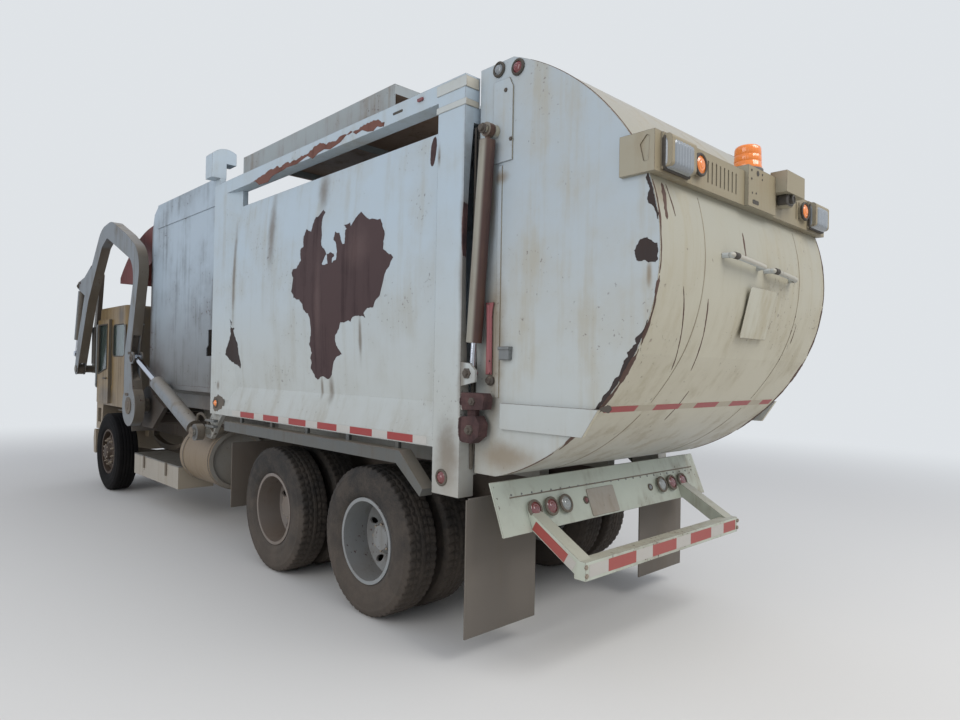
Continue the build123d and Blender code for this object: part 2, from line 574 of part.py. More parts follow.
# Tailgate: a hollow bulged shell open to the load space, with a channel rib, cover plates, the
# pins of its cylinders and its hinge eyes
with BuildPart() as tailgate:
    for half, grow, mode in ((GATE_HALF, 0, Mode.ADD),
                             (GATE_HALF - GATE_SKIN, -GATE_SKIN, Mode.SUBTRACT)):
        with BuildSketch(Plane.XZ.offset(-half)) as bulge:
            make_face(gate_outline(grow))
        extrude(bulge.sketch, amount=2 * half, mode=mode)
    block(GATE_FRONT - 40, GATE_FRONT + 20, -GATE_HALF + 60, GATE_HALF - 60, 1200, 3200,
          mode=Mode.SUBTRACT)
    for side in (1, -1):
        low, high = spans(side, GATE_HALF - 1, GATE_HALF + 25)
        side_plate([(-1180, 1380), (-1180, 1530), (-1880, 1530), (-1780, 1380)], low, high)
        low, high = spans(side, GATE_HALF - 1, GATE_HALF + 10)
        side_plate([(-1070, 3440), (-1200, 3440), (-1230, 3380), (-1230, 2950), (-1070, 2950)],
                   low, high)
        low, high = spans(side, GATE_HALF - 1, GATE_CYLINDER_Y - 25)
        cross_bar(GATE_TOP_PIN, low, high, 40)
        low, high = spans(side, GATE_HALF - 1, GATE_CYLINDER_Y + 44)
        cross_bar(GATE_TOP_PIN, low, high, 18)
        # upright rib behind the cylinder
        low, high = spans(side, GATE_HALF - 1, GATE_HALF + 8)
        block(-1150, -1120, low, high, 1560, 2930)
        for y0, y1 in ((640, 699), (761, 820)):
            low, high = spans(side, y0, y1)
            block(GATE_HINGE[0] - 105, GATE_FRONT + 20, low, high, 3350, 3620,
                  mode=Mode.SUBTRACT)
        low, high = spans(side, 700, 760)
        cross_bar(GATE_HINGE, low, high, 60)
        low, high = spans(side, 690, 770)
        cross_bar(GATE_HINGE, low, high, 25 + RUNNING_GAP, mode=Mode.SUBTRACT)
save("tailgate", tailgate.part)

# Light bar across the tailgate: a slotted box with a work lamp and a round lamp at each end, the
# beacon on its box near the middle and a small camera housing beside it
BAR_BACK = -2190
BAR_LOW, BAR_HIGH = 2690, 2890
BAR_HALF = GATE_HALF + 30
ROUND_LAMP_Y = BAR_HALF - 400
SLOT_PITCH, SLOT_WIDTH = 46, 12
with BuildPart() as light_bar:
    block(BAR_BACK, -1990, -BAR_HALF, BAR_HALF, BAR_LOW, BAR_HIGH)
    for first, count in ((570, 8), (-600, 2)):
        for slot in range(count):
            y = first - slot * SLOT_PITCH
            block(BAR_BACK - 1, BAR_BACK + 8, y - SLOT_WIDTH / 2, y + SLOT_WIDTH / 2,
                  BAR_LOW + 45, BAR_HIGH - 40, mode=Mode.SUBTRACT)
    for side in (1, -1):
        low, high = spans(side, BAR_HALF - 310, BAR_HALF - 55)
        block(BAR_BACK - 12, BAR_BACK, low, high, BAR_LOW + 15, BAR_HIGH - 5)
        low, high = spans(side, BAR_HALF - 300, BAR_HALF - 65)
        side_plate([(BAR_BACK, BAR_LOW + 22, 2), (BAR_BACK, BAR_HIGH - 12, 2),
                    (BAR_BACK - 55, BAR_HIGH - 16, 22), (BAR_BACK - 55, BAR_LOW + 30, 22)],
                   low, high)
        with Locations(Location((st(BAR_BACK - 6), side * ROUND_LAMP_Y, 2798), (0, 90, 0))):
            Cylinder(56, 16)
            Cylinder(47, 30)
        low, high = spans(side, BAR_HALF - 6, BAR_HALF + 1)
        side_plate([(-2108, 2829, 8), (-2146, 2872, 8), (-2162, 2860, 8), (-2156, 2744, 12),
                    (-2130, 2740, 12)], low, high, mode=Mode.SUBTRACT)
    block(BAR_BACK - 22, -2040, -230, 140, BAR_LOW, 2925)
    block(BAR_BACK - 90, BAR_BACK + 10, -500, -228, 2830, 2960)
    block(BAR_BACK - 60, BAR_BACK + 10, -380, -300, 2760, 2835)
    with Locations((st(-2125), -35, 2925)):
        Cylinder(84, 18, align=(Align.CENTER, Align.CENTER, Align.MIN))
        Cone(76, 70, 140, align=(Align.CENTER, Align.CENTER, Align.MIN))
    with BuildSketch(Plane.XZ.offset(-GATE_HALF)) as gate_face:
        make_face(gate_outline(0))
    extrude(gate_face.sketch, amount=2 * GATE_HALF, mode=Mode.SUBTRACT)
save("light_bar", light_bar.part)

# Tail lamp panel with the under-ride bar on slanting struts
with BuildPart() as light_panel:
    side_plate([(-1160, 1070), (-1172, 1070), (-1292, 775), (-1280, 775)],
               25 - BODY_HALF, BODY_HALF - 25)
    for side in (1, -1):
        low, high = spans(side, RAIL_OUT - RAIL_FLANGE, RAIL_OUT)
        side_plate([(RAIL_REAR, 780), (RAIL_REAR, 980), (-1205, 980), (-1287, 780)], low, high)
        low, high = spans(side, 800, 900)
        side_plate([(-1242, 900), (-1288, 780), (-1640, 580), (-1640, 680)], low, high)
    block(-1680, -1600, -900, 900, 575, 680)
    for y in (-850, -700, -560, 560, 700, 850):
        lens = Plane(origin=(st(-1245), y, 890), x_dir=(0, 1, 0), z_dir=(-295, 0, 120))
        with BuildSketch(lens.offset(-6)) as lamp:
            Circle(52)
        extrude(lamp.sketch, amount=14)
        with BuildSketch(lens.offset(8)) as lamp:
            Circle(44)
        extrude(lamp.sketch, amount=12)
save("light_panel", light_panel.part)

# Mud flaps behind the last axle, guards before the first driven one and behind the front wheels,
# each on a hanger from the chassis
with BuildPart() as mud_flaps:
    for side in (1, -1):
        low, high = spans(side, 600, 1210)
        block(-1050, -1040, low, high, 150, 960)
        block(2170, 2180, low, high, 400, 1000)
        low, high = spans(side, RAIL_OUT, 1165)
        block(-1040, -1010, low, high, 880, 960)
        block(2180, 2210, low, high, 880, 960)
        low, high = spans(side, 880, 1165)
        side_plate([(5860, 1092), (5860, 1100), (5700, 1100), (5330, 1030), (5270, 860),
                    (5278, 858), (5336, 1024), (5702, 1092)], low, high)
        low, high = spans(side, RAIL_OUT, 890)
        block(5600, 5640, low, high, 900, 960)
        low, high = spans(side, 880, 920)
        block(5600, 5640, low, high, 900, 1082)
save("mud_flaps", mud_flaps.part)

# Galvanised rails under the sills, bent down behind the last wheel, on short brackets
with BuildPart() as fender_rails:
    for side in (1, -1):
        low, high = spans(side, BODY_HALF - 35, BODY_HALF + 65)
        side_plate([(2300, 1190), (2300, 1105), (-390, 1105), (-640, 925), (-668, 975),
                    (-420, 1190)], low, high)
        low, high = spans(side, BODY_HALF - 30, BODY_HALF - 5)
        for station in (-300, 300, 900, 1500, 2100):
            block(station - 20, station + 20, low, high, 1190, SILL_BOTTOM)
save("fender_rails", fender_rails.part)

# Arms: two bent box beams with open cheeks at foot and tip, on one torque tube
ARM_OUTLINE = [
    (4800, 1200, 5), (4975, 1840, 300), (4660, 3050, 380), (5240, 3340, 150), (5913, 3605, 500),
    (6380, 3560, 450), (7130, 2760, 200), (7490, 2060, 300), (7620, 1650, 30),
    (7600, 1545, 30), (7500, 1545, 30), (7290, 1960, 200), (6960, 2600, 300), (6330, 3300, 150),
    (6090, 3400, 100), (4940, 2960, 300), (4940, 2700, 60), (5200, 1840, 300), (5200, 1200, 5)]
FOOT_RADIUS = 250
with BuildPart() as lift_arms:
    for side in (1, -1):
        low, high = spans(side, ARM_IN, ARM_OUT)
        side_plate(ARM_OUTLINE, low, high)
        cross_bar((PIVOT_X, PIVOT_Z), low, high, FOOT_RADIUS)
        cross_bar(LIFT_EYE, low, high, 75)
        cross_bar(FORK_PIVOT, low, high, 85)
        top = FORK_CYLINDER_TOP
        side_plate([(6990, 2640), (top[0] - 30, top[1] - 60), (top[0] + 55, top[1] - 20),
                    (top[0] + 20, top[1] + 55), (7200, 2960), (6850, 3100)], low, high)
        low, high = spans(side, ARM_IN + CHEEK, ARM_OUT - CHEEK)
        side_plate([(4600, 1480), (4840, 1480), (5030, 1620), (5050, 1860), (4990, 2060),
                    (4600, 2060)], low, high, mode=Mode.SUBTRACT)
        side_plate([(7420, 1400), (7420, 1800), (7900, 1800), (7900, 1400)], low, high,
                   mode=Mode.SUBTRACT)
        side_plate([(7410, 2700), (7385, 2860), (7440, 2960), (7700, 2960), (7700, 2700)],
                   low, high, mode=Mode.SUBTRACT)
        cross_bar(top, low, high, FORK_PIN_RADIUS)
        low, high = spans(side, ARM_IN - 1, ARM_OUT + 1)
        cross_bar(FORK_PIVOT, low, high, FORK_TUBE_RADIUS + RUNNING_GAP, mode=Mode.SUBTRACT)
    cross_bar((PIVOT_X, PIVOT_Z), -ARM_IN, ARM_IN, TORQUE_TUBE_RADIUS)
save("lift_arms", lift_arms.part)

# Forks: a cross tube between the arm tips with two tines, folded up, and a crank in each arm tip
with BuildPart() as forks:
    cross_bar(FORK_PIVOT, -ARM_OUT - 10, ARM_OUT + 10, FORK_TUBE_RADIUS)
    for side in (1, -1):
        low, high = spans(side, FORK_Y - 30, FORK_Y + 30)
        x, z = FORK_PIVOT
        side_plate([(x - 75, z - 60), (x + 75, z - 60), (x + 60, z + 500),
                    (FORK_TIP[0] + 45, FORK_TIP[1] - 40), (FORK_TIP[0], FORK_TIP[1]),
                    (FORK_TIP[0] - 20, FORK_TIP[1] - 20), (x - 70, z + 300)], low, high)
        low, high = spans(side, ARM_IN + CHEEK + 6, ARM_OUT - CHEEK - 6)
        cross_bar(FORK_PIVOT, low, high, 80)
        low, high = spans(side, (ARM_IN + ARM_OUT) / 2 - 12, (ARM_IN + ARM_OUT) / 2 + 12)
        side_plate([(x - 40, z + 60), (x + 70, z - 30), (FORK_EYE[0] + 40, FORK_EYE[1] - 40),
                    (FORK_EYE[0] - 30, FORK_EYE[1] + 30)], low, high)
        cross_bar(FORK_EYE, low, high, 48)
save("forks", forks.part)

# Cab: a hollow shell with rounded rear corners, its door, windscreen and corner window openings,
# a slotted grille, headlamps and a visor
SCREEN_TOP, SCREEN_LOW, SCREEN_HALF = 2360, 1600, 920
DOOR_REAR_EDGE, DOOR_FRONT_EDGE, DOOR_LOW, DOOR_HIGH = 6470, 7010, 1150, 2330
CORNER_WINDOW = (5890, 6410)
CAB_SIDE = 80           # side wall of the cab
GRILLE_SLOTS, GRILLE_PITCH = 8, 62


def cab_front(z):
    """Station of the cab's front at a height, raked above the windscreen's foot."""
    return CAB_FRONT - max(0, z - 1550) * 100 / 950


def cab_plan(inset):
    """Plan of the cab with rounded rear corners, drawn in by an inset."""
    rear, front = st(CAB_REAR + inset), st(CAB_FRONT + 10)
    half, corner = CAB_HALF - inset, CAB_CORNER - inset / 2
    with BuildLine() as edge:
        FilletPolyline((front, half), (rear, half), (rear, -half), (front, -half),
                       radius=[2, corner, corner, 2], close=True)
    return edge.edges()


with BuildPart() as cab_space:
    side_plate([(CAB_REAR + CAB_WALL, CAB_FLOOR + CAB_WALL),
                (CAB_REAR + CAB_WALL, CAB_ROOF - CAB_WALL),
                (cab_front(CAB_ROOF) - CAB_WALL, CAB_ROOF - CAB_WALL),
                (CAB_FRONT - CAB_WALL, 1550), (CAB_FRONT - CAB_WALL, CAB_FLOOR + CAB_WALL)],
               -CAB_HALF, CAB_HALF)
    with BuildSketch(Plane.XY.offset(CAB_FLOOR)) as plan:
        make_face(cab_plan(CAB_SIDE))
    extrude(plan.sketch, amount=CAB_ROOF - CAB_FLOOR, mode=Mode.INTERSECT)

with BuildPart() as cab_shell:
    side_plate([(CAB_REAR, CAB_FLOOR, 5), (CAB_REAR, CAB_ROOF, 80),
                (cab_front(CAB_ROOF), CAB_ROOF, 70), (CAB_FRONT, 1550, 60), (CAB_FRONT, 760, 5),
                (CAB_FRONT - CAB_WALL, 760, 5), (CAB_FRONT - CAB_WALL, CAB_FLOOR, 5)],
               -CAB_HALF, CAB_HALF)
    with BuildSketch(Plane.XY.offset(700)) as plan:
        make_face(cab_plan(0))
    extrude(plan.sketch, amount=CAB_ROOF - 600, mode=Mode.INTERSECT)
    add(cab_space.part, mode=Mode.SUBTRACT)
    for side in (1, -1):
        low, high = spans(side, CAB_HALF - CAB_SIDE - 5, CAB_HALF + 5)
        block(DOOR_REAR_EDGE + 20, DOOR_FRONT_EDGE - 20, low, high, DOOR_LOW + 20,
              DOOR_HIGH - 20, mode=Mode.SUBTRACT)
        side_plate([(CORNER_WINDOW[0], 1810, 60), (CORNER_WINDOW[1], 1810, 60),
                    (CORNER_WINDOW[1], 2250, 60), (CORNER_WINDOW[0], 2250, 60)],
                   low, high, mode=Mode.SUBTRACT)
        low, high = spans(side, 700, CAB_HALF)
        side_plate([(6800, CAB_FLOOR + 5), (6860, 760), (CAB_FRONT - 20, 760),
                    (CAB_FRONT - 20, CAB_FLOOR + 5)], low, high)
        low, high = spans(side, 800, CAB_HALF + 5)
        block(6900, 7060, low, high, 860, CAB_FLOOR - 60, mode=Mode.SUBTRACT)
        with Locations(Location((st(CAB_FRONT), side * 860, 900), (0, 90, 0))):
            Cylinder(105, 30)
            Cylinder(88, 46)
    block(CAB_FRONT - 260, CAB_FRONT + 20, -SCREEN_HALF, SCREEN_HALF, SCREEN_LOW, SCREEN_TOP,
          mode=Mode.SUBTRACT)
    for slot in range(GRILLE_SLOTS):
        z = 840 + slot * GRILLE_PITCH
        block(CAB_FRONT - 14, CAB_FRONT + 20, -560, 560, z, z + GRILLE_PITCH * 0.55,
              mode=Mode.SUBTRACT)
    side_plate([(cab_front(2400), 2400), (cab_front(2470), 2470), (7165, 2440), (7170, 2415)],
               -960, 960)
    for side in (1, -1):
        low, high = spans(side, RAIL_OUT - RAIL_FLANGE, RAIL_OUT)
        for station in (5850, 6900):
            block(station - 60, station + 60, low, high, RAIL_TOP, CAB_FLOOR + 5)
save("cab_shell", cab_shell.part)

# Cab glass: the windscreen in its opening and a pane in each corner window
with BuildPart() as cab_glass:
    side_plate([(cab_front(SCREEN_TOP) - 27, SCREEN_TOP), (cab_front(SCREEN_TOP) - 19, SCREEN_TOP),
                (cab_front(SCREEN_LOW) - 19, SCREEN_LOW), (cab_front(SCREEN_LOW) - 27, SCREEN_LOW)],
               -SCREEN_HALF, SCREEN_HALF)
    for side in (1, -1):
        low, high = spans(side, CAB_HALF - 16, CAB_HALF - 10)
        side_plate([(CORNER_WINDOW[0], 1810, 60), (CORNER_WINDOW[1], 1810, 60),
                    (CORNER_WINDOW[1], 2250, 60), (CORNER_WINDOW[0], 2250, 60)], low, high)
save("cab_glass", cab_glass.part)

# Cab interior: two seats on the floor, a dashboard across the front and the steering wheel
with BuildPart() as cab_interior:
    floor = CAB_FLOOR + CAB_WALL
    for side in (1, -1):
        low, high = spans(side, 330, 800)
        block(6050, 6500, low, high, floor, 1560)
        side_plate([(5960, 1540), (6110, 1540), (6020, 2200), (5900, 2200)], low, high)
    side_plate([(6780, floor), (7060, floor), (7080, 1540), (6820, 1540)], -900, 900)
    with Locations(Location((st(6730), 560, 1640), (0, -35, 0))):
        Torus(215, 16)
        Cylinder(40, 20)
        Box(420, 30, 14)
    with Locations(Location((st(6790), 560, 1540), (0, -35, 0))):
        Cylinder(30, 240)
save("cab_interior", cab_interior.part)

# Doors: one outside each of the cab's sides, on rails, that slides back beside the corner window
DOOR_IN, DOOR_OUT = CAB_HALF + 2, CAB_HALF + 38
DOOR_WINDOW = [(6540, 1640), (6950, 1560), (6950, 2260), (6540, 2260)]
for name, side in (("left", 1), ("right", -1)):
    with BuildPart() as door:
        low, high = spans(side, DOOR_IN, DOOR_OUT)
        block(DOOR_REAR_EDGE, DOOR_FRONT_EDGE, low, high, DOOR_LOW, DOOR_HIGH)
        side_plate(DOOR_WINDOW, low - 1, high + 1, mode=Mode.SUBTRACT)
        low, high = spans(side, CAB_HALF + RUNNING_GAP, DOOR_IN + 1)
        for z in (DOOR_LOW, DOOR_HIGH - 18):
            block(DOOR_REAR_EDGE + 40, DOOR_FRONT_EDGE - 40, low, high, z, z + 18)
    save(f"door_{name}", door.part)

# Front bumper with its brackets to the rails' ends
with BuildPart() as front_bumper:
    side_plate([(7140, 390, 10), (7140, 740, 10), (7240, 740, 40), (7270, 600, 60),
                (7240, 390, 40)], -CAB_HALF, CAB_HALF)
    for side in (1, -1):
        low, high = spans(side, RAIL_OUT - 80, RAIL_OUT - 12)
        block(6980, 7150, low, high, 600, RAIL_BOTTOM)
save("front_bumper", front_bumper.part)

# Mirrors: a tall housing ahead of each front corner on two stays
with BuildPart() as mirrors:
    for side in (1, -1):
        low, high = spans(side, CAB_HALF - 15, CAB_HALF + 50)
        block(7130, 7290, low, high, 1700, 2240)
        low, high = spans(side, CAB_HALF - 50, CAB_HALF)
        for z in (1760, 2180):
            side_plate([(cab_front(z), z), (7160, z), (7160, z + 30), (cab_front(z + 30), z + 30)],
                       low, high)
save("mirrors", mirrors.part)


def cylinders(base, eye, y, width, barrel, start, radii, eyes, pin, bore_end, rod_end):
    """Both sides' barrels and rods of a pair of cylinders between two pins in the side view."""
    reach = hypot(eye[0] - base[0], eye[1] - base[1])
    along = ((eye[0] - base[0]) / reach, 0, (eye[1] - base[1]) / reach)
    with BuildPart() as tubes:
        for side in (1, -1):
            line = Plane(origin=(st(base[0]), side * y, base[1]), x_dir=(0, 1, 0), z_dir=along)
            low, high = side * y - width / 2, side * y + width / 2
            cross_bar(base, low, high, eyes[0])
            for radius, first, last in ((width / 2 - 3, 0, start + 1), (radii[0], start, barrel)):
                with BuildSketch(line.offset(first)) as tube:
                    Circle(radius)
                extrude(tube.sketch, amount=last - first)
            with BuildSketch(line.offset(bore_end)) as bore:
                Circle(radii[1] + RUNNING_GAP)
            extrude(bore.sketch, amount=barrel - bore_end + 1, mode=Mode.SUBTRACT)
            cross_bar(base, low - radii[0], high + radii[0], pin + RUNNING_GAP,
                      mode=Mode.SUBTRACT)
    with BuildPart() as rods:
        for side in (1, -1):
            line = Plane(origin=(st(base[0]), side * y, base[1]), x_dir=(0, 1, 0), z_dir=along)
            with BuildSketch(line.offset(rod_end)) as rod:
                Circle(radii[1])
            extrude(rod.sketch, amount=reach - rod_end)
            cross_bar(eye, side * y - width / 2, side * y + width / 2, eyes[1])
    return tubes, rods


# Lift cylinders from the front posts' feet to the arms
ARM_MIDDLE = (ARM_IN + ARM_OUT) / 2
EYE_WIDTH = ARM_OUT - ARM_IN - 2 * CHEEK - 10
lift_barrels, lift_rods = cylinders(LIFT_BASE, LIFT_EYE, ARM_MIDDLE, EYE_WIDTH, 1310, 105,
                                    (80, 36), (84, 56), LIFT_PIN_RADIUS, 120, 800)
save("lift_barrels", lift_barrels.part)
save("lift_rods", lift_rods.part)

# Fork cylinders from a bracket on each arm to the forks' cranks, each rod's eye a clevis
CLEVIS_GAP = 34
fork_barrels, fork_rods = cylinders(FORK_CYLINDER_TOP, FORK_EYE, ARM_MIDDLE, EYE_WIDTH, 820, 78,
                                    (54, 26), (46, 40), FORK_PIN_RADIUS, 100, 140)
with fork_rods:
    for side in (1, -1):
        middle = side * ARM_MIDDLE
        with Locations(Location((st(FORK_EYE[0]), middle, FORK_EYE[1]), (90, 0, 0))):
            Cylinder(95, CLEVIS_GAP, mode=Mode.SUBTRACT)
save("fork_barrels", fork_barrels.part)
save("fork_rods", fork_rods.part)

# Tailgate cylinders hung from the tailgate's sides, their rods down to the rear posts
gate_barrels, gate_rods = cylinders(GATE_TOP_PIN, GATE_LOW_PIN, GATE_CYLINDER_Y, 40, 1260,
                                    62, (48, 18), (42, 32), 18, 90, 110)
save("gate_barrels", gate_barrels.part)
save("gate_rods", gate_rods.part)
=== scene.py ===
from math import cos, pi, radians, sin

import bpy
import numpy as np
from mathutils import Matrix, Vector
from mathutils.geometry import delaunay_2d_cdt


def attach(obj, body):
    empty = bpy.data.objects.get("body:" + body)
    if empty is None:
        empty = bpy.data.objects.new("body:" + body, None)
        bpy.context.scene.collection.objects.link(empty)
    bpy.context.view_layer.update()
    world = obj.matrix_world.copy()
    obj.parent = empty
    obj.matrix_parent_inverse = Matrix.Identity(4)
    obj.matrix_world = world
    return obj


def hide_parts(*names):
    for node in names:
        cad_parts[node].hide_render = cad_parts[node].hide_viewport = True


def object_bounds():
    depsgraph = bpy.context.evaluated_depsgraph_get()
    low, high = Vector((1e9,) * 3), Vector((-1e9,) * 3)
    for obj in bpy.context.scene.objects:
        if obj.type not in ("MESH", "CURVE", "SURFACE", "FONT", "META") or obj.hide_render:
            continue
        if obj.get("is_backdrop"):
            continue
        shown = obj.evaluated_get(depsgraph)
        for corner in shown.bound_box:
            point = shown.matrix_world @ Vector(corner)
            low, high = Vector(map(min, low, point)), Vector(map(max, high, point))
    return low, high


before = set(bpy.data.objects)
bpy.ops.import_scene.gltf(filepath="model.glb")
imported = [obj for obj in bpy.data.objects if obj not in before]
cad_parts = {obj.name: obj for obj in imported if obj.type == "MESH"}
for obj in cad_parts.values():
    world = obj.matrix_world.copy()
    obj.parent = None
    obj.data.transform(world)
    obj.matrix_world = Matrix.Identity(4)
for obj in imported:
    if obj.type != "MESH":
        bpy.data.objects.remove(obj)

cad_low, cad_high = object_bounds()

# Weathered paint: the truck is brush-washed white paint over steel, stained by what it carries.
# Dirt runs down in streaks, dust lies on what faces up and near the wheels, and rust breaks out
# in specks. Places along the truck are stations, in metres forward of the rearmost axle.
STATION_ZERO = -2.764
SIDES = (("left", 1), ("right", -1))


def at(station):
    """World x of a station."""
    return station + STATION_ZERO


def put(tree, kind, feeds=None, **settings):
    """A node of this kind, with its settings, and each input set to a value or fed by an output."""
    node = tree.nodes.new(kind)
    for key, value in settings.items():
        setattr(node, key, value)
    for key, value in (feeds or {}).items():
        if isinstance(value, bpy.types.NodeSocket):
            tree.links.new(value, node.inputs[key])
        else:
            node.inputs[key].default_value = value
    return node


def group(name, inputs, outputs):
    """A new node group with float, vector or colour sockets, and its input and output nodes."""
    tree = bpy.data.node_groups.new(name, "ShaderNodeTree")
    kinds = {"f": "NodeSocketFloat", "v": "NodeSocketVector", "c": "NodeSocketColor"}
    for label, kind in inputs:
        tree.interface.new_socket(label, in_out="INPUT", socket_type=kinds[kind])
    for label, kind in outputs:
        tree.interface.new_socket(label, in_out="OUTPUT", socket_type=kinds[kind])
    return tree, tree.nodes.new("NodeGroupInput"), tree.nodes.new("NodeGroupOutput")


def ramp(tree, value, low, high):
    """0 below low, 1 above high, and smooth between."""
    return put(tree, "ShaderNodeMapRange", {"Value": value, "From Min": low, "From Max": high},
               interpolation_type="SMOOTHSTEP").outputs["Result"]


def noise(tree, vector, scale, detail=4.0, rough=0.55, stretch=None):
    """Noise of a size, on coordinates stretched along an axis."""
    if stretch:
        vector = put(tree, "ShaderNodeVectorMath", {0: vector, 1: stretch},
                     operation="MULTIPLY").outputs["Vector"]
    return put(tree, "ShaderNodeTexNoise", {"Vector": vector, "Scale": scale, "Detail": detail,
                                            "Roughness": rough}).outputs["Fac"]


def calc(tree, operation, a, b=0.5):
    """One step of arithmetic."""
    return put(tree, "ShaderNodeMath", {0: a, 1: b}, operation=operation).outputs["Value"]


def colour_mix(tree, factor, a, b):
    """Colour a, turning to colour b as the factor goes to 1."""
    node = tree.nodes.new("ShaderNodeMix")
    node.data_type = "RGBA"
    sockets = [s for s in node.inputs if s.enabled]
    for socket, value in zip(sockets, (factor, a, b)):
        if isinstance(value, bpy.types.NodeSocket):
            tree.links.new(value, socket)
        else:
            socket.default_value = value if isinstance(value, float) else (*value, 1)
    return [s for s in node.outputs if s.enabled][0]


weather, g_in, g_out = group(
    "weather", [("Vector", "v")],
    [("Streak", "f"), ("Blotch", "f"), ("Speck", "f"), ("Low", "f"), ("Up", "f"), ("Grain", "f"),
     ("High", "f"), ("Rear", "f"), ("Under", "f")])
coords = g_in.outputs["Vector"]
split = put(weather, "ShaderNodeSeparateXYZ", {0: coords})
normal = put(weather, "ShaderNodeSeparateXYZ",
             {0: put(weather, "ShaderNodeNewGeometry").outputs["Normal"]})
fine = noise(weather, coords, 9.0, 6.0, 0.65, (1.0, 1.0, 0.06))
wide = noise(weather, coords, 1.7, 5.0, 0.6)
for label, value in {
        "Streak": ramp(weather, calc(weather, "MULTIPLY", fine, calc(weather, "ADD", wide, 0.55)),
                       0.50, 0.78),
        "Blotch": ramp(weather, wide, 0.38, 0.72),
        "Speck": ramp(weather, calc(weather, "MULTIPLY", noise(weather, coords, 38.0, 3.0, 0.6),
                                    calc(weather, "ADD", wide, 0.6)), 0.76, 0.83),
        "Low": ramp(weather, calc(weather, "SUBTRACT", calc(weather, "MULTIPLY", fine, 0.5),
                                  split.outputs["Z"]), -1.35, -0.35),
        "Up": ramp(weather, normal.outputs["Z"], 0.35, 0.95),
        # High rises with height; paint() uses it for painted sky reflection and painted shade
        "High": ramp(weather, split.outputs["Z"], 1.5, 2.9),
        "Rear": ramp(weather, calc(weather, "MULTIPLY", normal.outputs["X"], -1.0), 0.3, 0.8),
        "Under": ramp(weather, calc(weather, "MULTIPLY", normal.outputs["Z"], -1.0), 0.4, 0.9),
        "Grain": noise(weather, coords, 160.0, 2.0)}.items():
    weather.links.new(value, g_out.inputs[label])

rusty, g_in, g_out = group("rust", [("Vector", "v")],
                           [("Color", "c"), ("Height", "f"), ("Roughness", "f")])
coords = g_in.outputs["Vector"]
coarse = noise(rusty, coords, 7.0, 8.0, 0.7)
crust = noise(rusty, coords, 55.0, 6.0, 0.75)
tone = colour_mix(rusty, ramp(rusty, coarse, 0.35, 0.68), (0.040, 0.020, 0.020),
                  (0.095, 0.048, 0.044))
tone = colour_mix(rusty, ramp(rusty, crust, 0.56, 0.80), tone, (0.17, 0.085, 0.05))
rusty.links.new(tone, g_out.inputs["Color"])
rusty.links.new(calc(rusty, "ADD", crust, coarse), g_out.inputs["Height"])
rusty.links.new(ramp(rusty, crust, -0.6, 1.0), g_out.inputs["Roughness"])

# One soft-edged blot: 1 at its centre, 0 at its edge
blot, g_in, g_out = group("blot", [("Vector", "v"), ("Centre", "v"), ("Size", "v")],
                          [("Mask", "f")])
away = put(blot, "ShaderNodeVectorMath", {0: g_in.outputs["Vector"], 1: g_in.outputs["Centre"]},
           operation="SUBTRACT").outputs["Vector"]
away = put(blot, "ShaderNodeVectorMath", {0: away, 1: g_in.outputs["Size"]},
           operation="DIVIDE").outputs["Vector"]
reach = put(blot, "ShaderNodeVectorMath", {0: away}, operation="LENGTH").outputs["Value"]
blot.links.new(calc(blot, "SUBTRACT", 1.0, reach), g_out.inputs["Mask"])


def blots(tree, coords, table, ragged, seed_scale, edge):
    """Mask of patches from a table of (x, y, z, half sizes), with edges torn by noise."""
    mask = None
    for x, y, z, sx, sy, sz in table:
        one = put(tree, "ShaderNodeGroup", {"Vector": coords, "Centre": (at(x), y, z),
                                            "Size": (sx, sy, sz)}, node_tree=blot)
        mask = one.outputs["Mask"] if mask is None else calc(tree, "MAXIMUM", mask,
                                                            one.outputs["Mask"])
    torn = calc(tree, "MULTIPLY", calc(tree, "SUBTRACT", noise(tree, coords, seed_scale, 9.0, 0.68),
                                       0.5), ragged)
    return ramp(tree, calc(tree, "ADD", mask, torn), 0.0, edge)


def blank(name):
    """A new material, its empty tree and the object coordinates in it."""
    material = bpy.data.materials.new(name)
    material.use_nodes = True
    tree = material.node_tree
    tree.nodes.clear()
    return material, tree, put(tree, "ShaderNodeTexCoord").outputs["Object"]


def shade(tree, feeds):
    """End the tree in one Principled shader, fed by these inputs."""
    shader = put(tree, "ShaderNodeBsdfPrincipled", feeds)
    put(tree, "ShaderNodeOutputMaterial", {"Surface": shader.outputs["BSDF"]})


